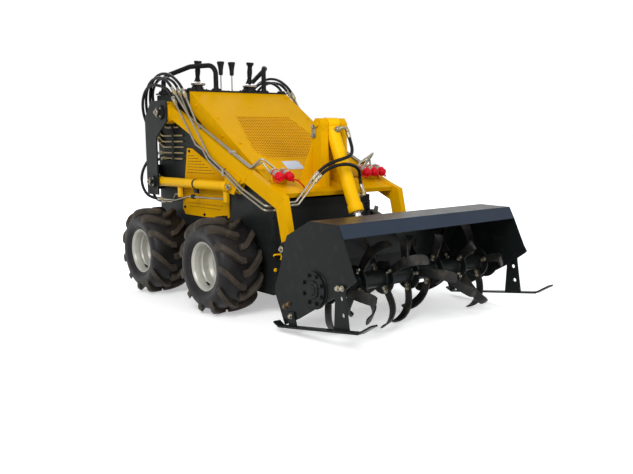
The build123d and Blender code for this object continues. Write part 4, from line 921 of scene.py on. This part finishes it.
def make_tilt_fittings():
    """Elbow fittings from the tilt cylinder to its two hoses."""
    fittings, elbows = Shape(), Shape()
    top = Vector((-TILT_AHEAD.z, 0, TILT_AHEAD.x))
    for share, leave, route in ((0.09, top, TILT_HOSES[0]), (0.74, across(1), TILT_HOSES[1])):
        tail = Vector(route[-1])
        into = (tail - Vector(route[-2])).normalized()
        root = TILT_PIN.lerp(TILT_EYE, share)
        fittings.hexagon(root + leave * 35, leave, 34, 14)
        fittings.lathe(root + leave * 46, leave, [(0, 14), (10, 14), (12, 12)], 24)
        corner = (root + leave * 62).lerp(tail + into * 20, 0.3)
        elbows.wire([root + leave * 44, corner, tail + into * 16, tail + into * 0.5], 8, 16)
    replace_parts(fittings.make_bolts("tilt_port_nuts", ZINC, "tilt_barrel"), "tilt_ports")
    elbows.make("tilt_port_elbows", ZINC, "tilt_barrel")


COUPLERS_Y = (-380, -315, 262, 321, 380)
COUPLER_X, COUPLER_Z = 315, 812
COUPLER_AHEAD = Vector((0.93, 0, -0.37)).normalized()      # the couplers point forward and down
COUPLER_SLEEVE = [          # this profile and the cap's are (distance along, radius)
    (0, 14), (0, 18), (2, 20.5), (12, 20.5), (13, 19), (16, 19), (17, 21.5), (36, 21.5), (38, 20),
    (41, 20), (42, 21), (46, 19.5), (50, 14),
]
DUST_CAP = [
    (0, 21), (1, 25.5), (5, 27), (10, 26.5), (12, 24), (16, 23.5), (28, 24.5), (33, 23.5),
    (38, 19.5), (41, 12), (42, 3),
]


def make_couplers():
    """Quick couplers with their sleeves and bracket, moulded dust caps and their leashes."""
    sleeves, caps, leashes, bracket = Shape(), Shape(), Shape(), Shape()
    ahead = COUPLER_AHEAD
    for i, y in enumerate(COUPLERS_Y):
        at = Vector((COUPLER_X - 2, y, COUPLER_Z + 8))
        sleeves.hexagon(at, ahead, 38, 16, 0.2)
        sleeves.lathe(at + ahead * 15, ahead, COUPLER_SLEEVE, 40)
        cap = at + ahead * 56
        caps.lathe(cap, ahead, DUST_CAP, 40)
        for rib in circle(cap, *unit_frame(ahead), 23.4, 8):
            caps.rod(rib + ahead * 13, rib + ahead * 34, 2.2, 10)
        side = -1 if i in (0, 2) else 1
        reach = 24 if side * y > 0 else 21
        leashes.wire([cap + ahead * along + Vector((x, side * out, z)) for along, x, out, z in
                      ((40, 0, 0, 0), (44, 0, 8, -9), (26, 0, reach, -27), (0, -4, reach + 3, -22),
                       (-22, 0, 21, -4))], 3.2, 10)
        leashes.ring(at + ahead * 20, ahead, [(0, 20), (0, 23.4), (6, 23.4), (6, 20)], 32)
    for low, high in ((COUPLERS_Y[0] - 20, COUPLERS_Y[1] + 22),
                      (COUPLERS_Y[2] - 22, COUPLERS_Y[4] + 20)):
        bracket.plate([(324, 757), (326, 809), (334, 809), (336, 754)], low, high)
    sleeves.make("coupler_sleeves", ZINC, "arms", smooth=25)
    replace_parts(bracket.make("coupler_bracket", YELLOW, "arms", bevel=1.5), "couplers")
    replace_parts(caps.make("dust_caps", RED, "arms"), "coupler_caps")
    tail = Vector((COUPLER_X, COUPLERS_Y[1], COUPLER_Z)) + ahead * 90
    leashes.wire([tail + Vector(step) for step in
                  ((0, 8, 0), (12, 34, -10), (16, 62, -34), (14, 84, -56))], 4, 10)
    leashes.make("cap_leashes", RED, "arms")


WALL_PIPES = [              # (x of the front end, x of the elbow, z, x and z of the hose end)
    (-740, -925, 1080, -981, 1122), (-690, -985, 1026, -1033, 1062),
    (-690, -975, 987, -1023, 1023), (-680, -965, 950, -1013, 986),
    (-690, -840, 912, -985, 912), (-700, -830, 874, -950, 874),
]
WALL_PIPE_Y, PIPE_R = -383, 6


def make_wall_pipes():
    """Pipes on both chassis sides, and the dark strip that clamps them."""
    for hand in ("right", "left"):
        pipes, strip = Shape(), Shape()
        for i, (front, elbow, z, end_x, end_z) in enumerate(WALL_PIPES):
            if hand == "left" and i == RIGHT_ONLY:
                continue
            start, bend, end = (Vector((x, WALL_PIPE_Y, up))
                                for x, up in ((front, z), (elbow, z), (end_x, end_z)))
            into, out = (bend - start).normalized(), (end - bend).normalized()
            turn = smooth_line([bend - into * 24, bend - into * 7 + out * 7, bend + out * 24], 5)
            pipes.bent([start, *turn, end], PIPE_R - 0.2, 16)
            strip.block((-831, WALL_PIPE_Y - PIPE_R - 2, z - 11), (-809, WALL_PIPE_Y + 2, z + 11))
        strip.block((-829, WALL_PIPE_Y - 1, 860), (-811, PANEL_FACE + 4, 1094))
        for z in (868, 1053):
            strip.bolt((-820, WALL_PIPE_Y - 1, z), TO_RIGHT, 11)
        if hand == "left":
            pipes, strip = pipes.mirrored(), strip.mirrored()
        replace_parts(pipes.make(f"wall_pipes_{hand}", BRASS, "chassis"), "tower_pipes")
        strip.make(f"pipe_clamps_{hand}", CHARCOAL, "chassis", bevel=1)


for make in (make_grille, make_louvres, make_hood_trim, make_pins, make_arm_details,
             make_cylinder_details, make_tilt_fittings, make_couplers, make_wall_pipes):
    make()

# ---- deck
JOYSTICKS = [(-790, -205), (-700, 150)]
LEVERS = [(-640, -111), (-640, -26)]
FILLERS = [(-613, -299), (-613, 96)]
HANDLE_FEET = [(-985, -355), (-615, -165), (-985, 355), (-630, 225)]
JOYSTICK_GRIP = [           # the profiles of the deck's turned parts are (height, radius)
    (0, 13), (4, 15), (22, 14), (40, 16), (60, 18), (78, 17), (94, 15.5), (104, 17), (112, 24),
    (118, 26), (125, 26), (129, 23), (130, 6),
]
LEVER_KNOB = [
    (0, 9), (3, 13), (10, 14), (34, 15), (52, 18), (68, 21), (76, 24), (84, 24.5), (88, 22),
    (89, 5),
]
FILLER_NECK = [(0, 34), (4, 34), (5, 25), (27, 25), (28, 29), (33, 29)]
FILLER_TOP = [
    (0, 38), (1, 42), (4, 44.5), (8, 45), (15, 44.5), (17, 42), (21, 32), (23, 20), (23.6, 4),
]
FILLER_RIBS = 28
HANDLE_FOOT = [(0, 36), (5, 36), (7, 34), (7, 20), (20, 18.5), (24, 16.4)]
CORNER_BUFFER = [(0, 27), (6, 28), (10, 27), (13, 22), (14, 8)]
DIALS = ((-150, 27), (-70, 27), (150, 20))          # (y, radius)
SWITCHES_Y = (0, 32, 64, 96)
CONSOLE_H = 26


def deck_circle(x, y, up, r, count, turn=0.0):
    """Points of a level circle over the deck."""
    return circle(Vector((x, y, DECK_Z + up)), Vector((1, 0, 0)), across(1), r, count, turn)


def make_joysticks():
    """Joystick bases with their screws, folded bellows and shaped grips."""
    bases, boots, grips = Shape(), Shape(), Shape()
    folds = [(0, 50), (4, 51)]
    for k in range(6):
        folds += [(8 + k * 11, 47 - k * 5.2), (13 + k * 11, 38 - k * 4.3)]
    for x, y in JOYSTICKS:
        bases.block((x - 55, y - 55, DECK_Z), (x + 55, y + 55, DECK_Z + 16))
        foot = Vector((x, y, DECK_Z + 15))
        boots.lathe(foot, (0.06, 0, 1), folds + [(76, 17), (80, 14)], 40)
        grips.lathe(foot + Vector((4, 0, 62)), (12, 0, 110), JOYSTICK_GRIP)
        for dx, dy in ((-44, -44), (44, -44), (44, 44), (-44, 44)):
            bases.rod(foot + Vector((dx, dy, 0)), foot + Vector((dx, dy, 6)), 5, 12)
    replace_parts(grips.make("joystick_grips", GRIP, "chassis"), "joysticks")
    bases.make("joystick_bases", PLASTIC, "chassis", bevel=2)
    boots.make("joystick_bellows", GRIP, "chassis", smooth=60)


def make_levers():
    """Slim bright lever stems with flared black knobs."""
    stems, knobs = Shape(), Shape()
    for x, y in LEVERS:
        stems.rod((x, y, DECK_Z), (x, y, DECK_Z + 118), 4.5, 16)
        stems.lathe((x, y, DECK_Z), UPWARD, [(0, 11), (5, 11), (7, 8), (13, 5)], 20)
        knobs.lathe((x, y, DECK_Z + 106), UPWARD, LEVER_KNOB)
    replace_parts(stems.make("lever_stems", STEEL, "chassis"), "control_levers")
    knobs.make("lever_knobs", PLASTIC, "chassis")


def make_fillers():
    """Chrome filler caps: neck, ribbed rim and domed top."""
    caps, necks = Shape(), Shape()
    for x, y in FILLERS:
        necks.lathe((x, y, DECK_Z), UPWARD, FILLER_NECK, 40)
        caps.lathe((x, y, DECK_Z + 30), UPWARD, FILLER_TOP, 56)
        for at in deck_circle(x, y, 33, 44, FILLER_RIBS):
            caps.rod(at, at + Vector((0, 0, 12)), 2.4, 8)
    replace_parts(caps.make("filler_tops", STEEL, "chassis"), "filler_caps")
    necks.make("filler_necks", PLASTIC, "chassis")


def make_deck_details():
    """Handle feet, corner buffers, deck screws and the low console with its dials and switches."""
    feet, bolts, buffers, console, dials, rims, keys = (Shape() for _ in range(7))
    for x, y in HANDLE_FEET:
        feet.lathe((x, y, DECK_Z), UPWARD, HANDLE_FOOT, 36)
        for at in deck_circle(x, y, 7, 27, 3, math.radians(30)):
            bolts.bolt(at, UPWARD, 10)
    for y in (-354, 354):
        buffers.lathe((HOOD_LOW.x - 22, y, DECK_Z), UPWARD, CORNER_BUFFER, 40)
    for x in (-1030, -820, -610):
        for y in (-366, 366):
            bolts.bolt((x, y, DECK_Z), UPWARD, 10)
    feet.make("handle_feet", PLASTIC, "chassis")
    bolts.make_bolts("deck_bolts", CHARCOAL, "chassis")
    buffers.make("corner_buffers", GRIP, "chassis")
    low, high = node_box("rear_console")
    top = low.z + CONSOLE_H
    console.plate([(low.x, low.z), (low.x + 24, top), (high.x - 30, top), (high.x, low.z)],
                  low.y, high.y)
    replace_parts(console.make("low_console", CHARCOAL, "chassis", bevel=2), "rear_console")
    for y, r in DIALS:
        at = (low.x + 66, y, top)
        rims.ring(at, UPWARD, [(0, r - 3), (0, r + 3), (4, r + 3), (6, r), (4, r - 3)], 40)
        dials.lathe(at, UPWARD, [(-0.5, r - 2), (2.5, r - 2)], 40)
    for y in SWITCHES_Y:
        keys.block((low.x + 53, y - 8, top), (low.x + 79, y + 8, top + 6))
    rims.make("gauge_rims", CHROME, "chassis")
    dials.make("gauge_faces", BLANK, "chassis")
    keys.make("console_switches", PLASTIC, "chassis", bevel=1.5)


# ---- chassis ends
REAR_PLATE_X = -1055
DOOR_HALF, DOOR_LOW, DOOR_HIGH = 300, 660, 1180


def make_front():
    """Ledge, tie-down hooks and bolts on the chassis front."""
    front, half, _ = node_box("chassis_tub")[1]
    ledge, hook, bolts = Shape(), Shape(), Shape()
    ledge.plate([(front, 604), (front + 6, 606), (front + 6, 614), (front, 616)], -half, half)
    ledge.block((front, -half, 119), (front + 5, 26 - half, 604))
    ledge.block((front, half - 26, 119), (front + 5, half, 604))
    ledge.make("front_ledge", CHARCOAL, "chassis", bevel=1)
    for side in (-1, 1):
        hook.wire([(front + x, side * y, z) for x, y, z in
                   ((3, 365, 345), (12, 362, 351), (14, 335, 351), (13, 318, 346), (11, 316, 330),
                    (4, 316, 318))], 5.5)
        hook.lathe((front, side * 356, 263), (1, 0, 0), [(0, 11), (8, 11), (10, 8)], 24)
        for z in (160, 430, 560):
            bolts.bolt((front + 5, side * 358, z), (1, 0, 0), 13)
    hook.make("front_hooks", LIT_CYLINDER_YELLOW, "chassis")
    bolts.make_bolts("front_bolts", CHARCOAL, "chassis")


def make_rear():
    """Service door with louvres and painted shade in their openings, latch and hinges, reflectors,
    and the folding step's tread.
    """
    door, slot_shade, metal, lens, tread = (Shape() for _ in range(5))
    x, back = REAR_PLATE_X, (-1, 0, 0)
    door.block((x - 6, -DOOR_HALF, DOOR_LOW), (x, DOOR_HALF, DOOR_HIGH))
    for z in range(700, 900, 26):
        door.prism([(x - 5.5, -210, z), (x - 14, -210, z - 4), (x - 15, -210, z - 1),
                    (x - 5.5, -210, z + 13)], across(420))
        # painted shade in each louvre's opening
        slot_shade.block((x - 7, -206, z - 7), (x - 5, 206, z - 1))
    for z in (740, 1100):
        metal.rod((x - 11, DOOR_HALF, z - 30), (x - 11, DOOR_HALF, z + 30), 7, 16)
    metal.lathe((x - 6, -270, 930), back, [(0, 20), (6, 20), (8, 17), (8, 4)])
    metal.block((x - 20, -274, 905), (x - 12, -266, 955))
    for y in (-270, 270):
        for z in (DOOR_LOW + 24, DOOR_HIGH - 24):
            metal.bolt((x - 6, y, z), back, 13)
    for y in (-335, 335):
        lens.lathe((x, y, 1215), back, [(0, 27), (9, 27), (13, 22), (14, 5)])
    door.make("rear_door", CHARCOAL, "chassis", bevel=1)
    slot_shade.make("rear_door_slot_shade", PAINTED_SHADE, "chassis")
    metal.make("rear_door_fittings", ZINC, "chassis", smooth=25)
    lens.make("rear_reflectors", RED, "chassis")
    low, high = node_box("rear_step")
    for row in range(12):
        for column in range(15):
            y, z = column * 32 - 224, high.z - 24 - row * 30
            rise = 9 if (row + column) % 2 else -9
            tread.prism([(low.x, y + dy, z + dz) for dy, dz in
                         ((-9, -rise - 2), (-9, 2 - rise), (9, rise + 2), (9, rise - 2))],
                        (-0.9, 0, 0))
    tread.make("step_tread", CHARCOAL, "step")


# ---- tiller
SKID_BOLTS = [(1034, 296), (1066, 300), (658, 92)]
PLATE_BOLTS = [(598, 132), (632, 150)]
LIP_EDGE = [(1059, 530), (1024, 594)]


def make_tiller_details():
    """Housing bolts and caps, bolts of the skids and side plates, and a painted highlight along
    the hood's front lip.
    """
    bolts, rings, brown, lip, seams = (Shape() for _ in range(5))
    for side, face, plate_y in ((-1, HOUSING_LOW.y, PLATE_LOW_Y),
                                (1, HOUSING_HIGH.y, PLATE_HIGH_Y)):
        out, middle = across(side), Vector((ROTOR_X, face, ROTOR_Z))
        rings.lathe(middle, out, [(0, 46), (4, 46), (7, 43), (7, 30), (12, 27), (13, 6)], 40)
        rings.ring(middle - out * 14, out, [(0, 88), (0, 100), (3, 100), (5, 98), (5, 88)], 64)
        for k in range(8):
            rings.bolt(middle + about_y(72, math.radians(22.5 + 45 * k)), out, 17)
        for x, z in SKID_BOLTS:
            bolts.bolt((x, plate_y + side * 8, z), out, 19)
        for x, z in PLATE_BOLTS:
            brown.bolt((x, plate_y, z), out, 19)
    bolts.make_bolts("skid_bolts", ZINC, "tiller")
    rings.make("housing_caps", TILLER, "tiller", smooth=25)
    brown.make_bolts("side_plate_bolts", RUST, "tiller")
    low_y, high_y = PLATE_LOW_Y + 8, PLATE_HIGH_Y - 8
    # strip over the lip in a lighter blue-grey: painted highlight
    lip.plate([(x + 0.9, z + 0.5) for x, z in LIP_EDGE]
              + [(x - 1, z - 0.6) for x, z in reversed(LIP_EDGE)], low_y, high_y)
    for y in (low_y + 1, high_y - 1):
        seams.wire([(1018, y, 588), (930, y, 589), (820, y, 590)], 3, 8)
    lip.make("tiller_lip", LIP_HIGHLIGHT, "tiller")
    seams.make("tiller_seams", TILLER, "tiller")


for make in (make_joysticks, make_levers, make_fillers, make_deck_details, make_front, make_rear,
             make_tiller_details):
    make()


# ---- floor, light
FLOOR_REACH = 14
FLOOR_GLOW = {"From_Min": 0.8, "From_Max": 5.5, "To_Min": 0.4, "To_Max": 1.0}   # metres, strength
SKY_STRENGTH = 0.42
LAMPS = [                   # (name, place in machine millimetres, watts, width in metres)
    ("key", (2400, -3600, 3600), 170, 2.6),
    ("front", (4200, 600, 1800), 66, 2.4),
    ("back", (-3600, 1600, 3200), 100, 2.4),
]
LAMP_AIM = (-100, 0, 600)


def mix_seen(tree, first, second, surface):
    """Shows the second shader to rays from the camera and to those mirrored or let through by
    glass and metal, and the first to the rest."""
    path = add_node(tree, "LightPath")
    value = path.outputs["Is Camera Ray"]
    for kind in ("Is Glossy Ray", "Is Transmission Ray"):
        either = add_node(tree, "Math")
        either.operation = "MAXIMUM"
        tree.links.new(value, either.inputs[0])
        tree.links.new(path.outputs[kind], either.inputs[1])
        value = either.outputs["Value"]
    mix = add_node(tree, "MixShader")
    for source, socket in ((value, "Fac"), (first, 1), (second, 2)):
        tree.links.new(source, mix.inputs[socket])
    tree.links.new(mix.outputs["Shader"], tree.nodes[surface].inputs["Surface"])


def make_stage():
    """White floor that keeps the machine's shadow, and a white surround."""
    mesh = bpy.data.meshes.new("floor")
    mesh.from_pydata([(x * FLOOR_REACH, y * FLOOR_REACH, 0)
                      for x, y in ((-1, -1), (1, -1), (1, 1), (-1, 1))], [], [(0, 1, 2, 3)])
    made = bpy.data.materials.new("floor_white")
    made.use_nodes = True
    tree = made.node_tree
    shader = tree.nodes["Principled BSDF"]
    shader.inputs["Base Color"].default_value = (0.88, 0.88, 0.88, 1)
    shader.inputs["Roughness"].default_value = 0.9
    place, away = add_node(tree, "TexCoord"), add_node(tree, "VectorMath")
    away.operation = "LENGTH"
    spread, glow = add_node(tree, "MapRange", **FLOOR_GLOW), add_node(tree, "Emission")
    both = add_node(tree, "AddShader")
    for source, target in ((place.outputs["Object"], away.inputs[0]),
                           (away.outputs["Value"], spread.inputs["Value"]),
                           (spread.outputs["Result"], glow.inputs["Strength"]),
                           (shader.outputs["BSDF"], both.inputs[0]),
                           (glow.outputs["Emission"], both.inputs[1])):
        tree.links.new(source, target)
    mix_seen(tree, shader.outputs["BSDF"], both.outputs["Shader"], "Material Output")
    mesh.materials.append(made)
    show("floor", mesh)
    world = bpy.data.worlds.new("surround")
    world.use_nodes = True
    SCENE.world = world
    tree = world.node_tree
    sky = tree.nodes["Background"]
    sky.inputs["Color"].default_value = (0.92, 0.95, 1.0, 1)
    sky.inputs["Strength"].default_value = SKY_STRENGTH
    white = add_node(tree, "Background", Color=(1, 1, 1, 1), Strength=1.0)
    mix_seen(tree, sky.outputs["Background"], white.outputs["Background"], "World Output")


def make_lamps():
    """Three large soft lamps, aimed at the machine's middle."""
    for name, place, watts, width in LAMPS:
        data = bpy.data.lights.new(name, "AREA")
        data.energy, data.size = watts, width
        at = machine(*place)
        turn = (machine(*LAMP_AIM) - at).to_track_quat("-Z", "Y").to_matrix().to_4x4()
        show(name, data).matrix_world = Matrix.Translation(at) @ turn


make_stage()
make_lamps()
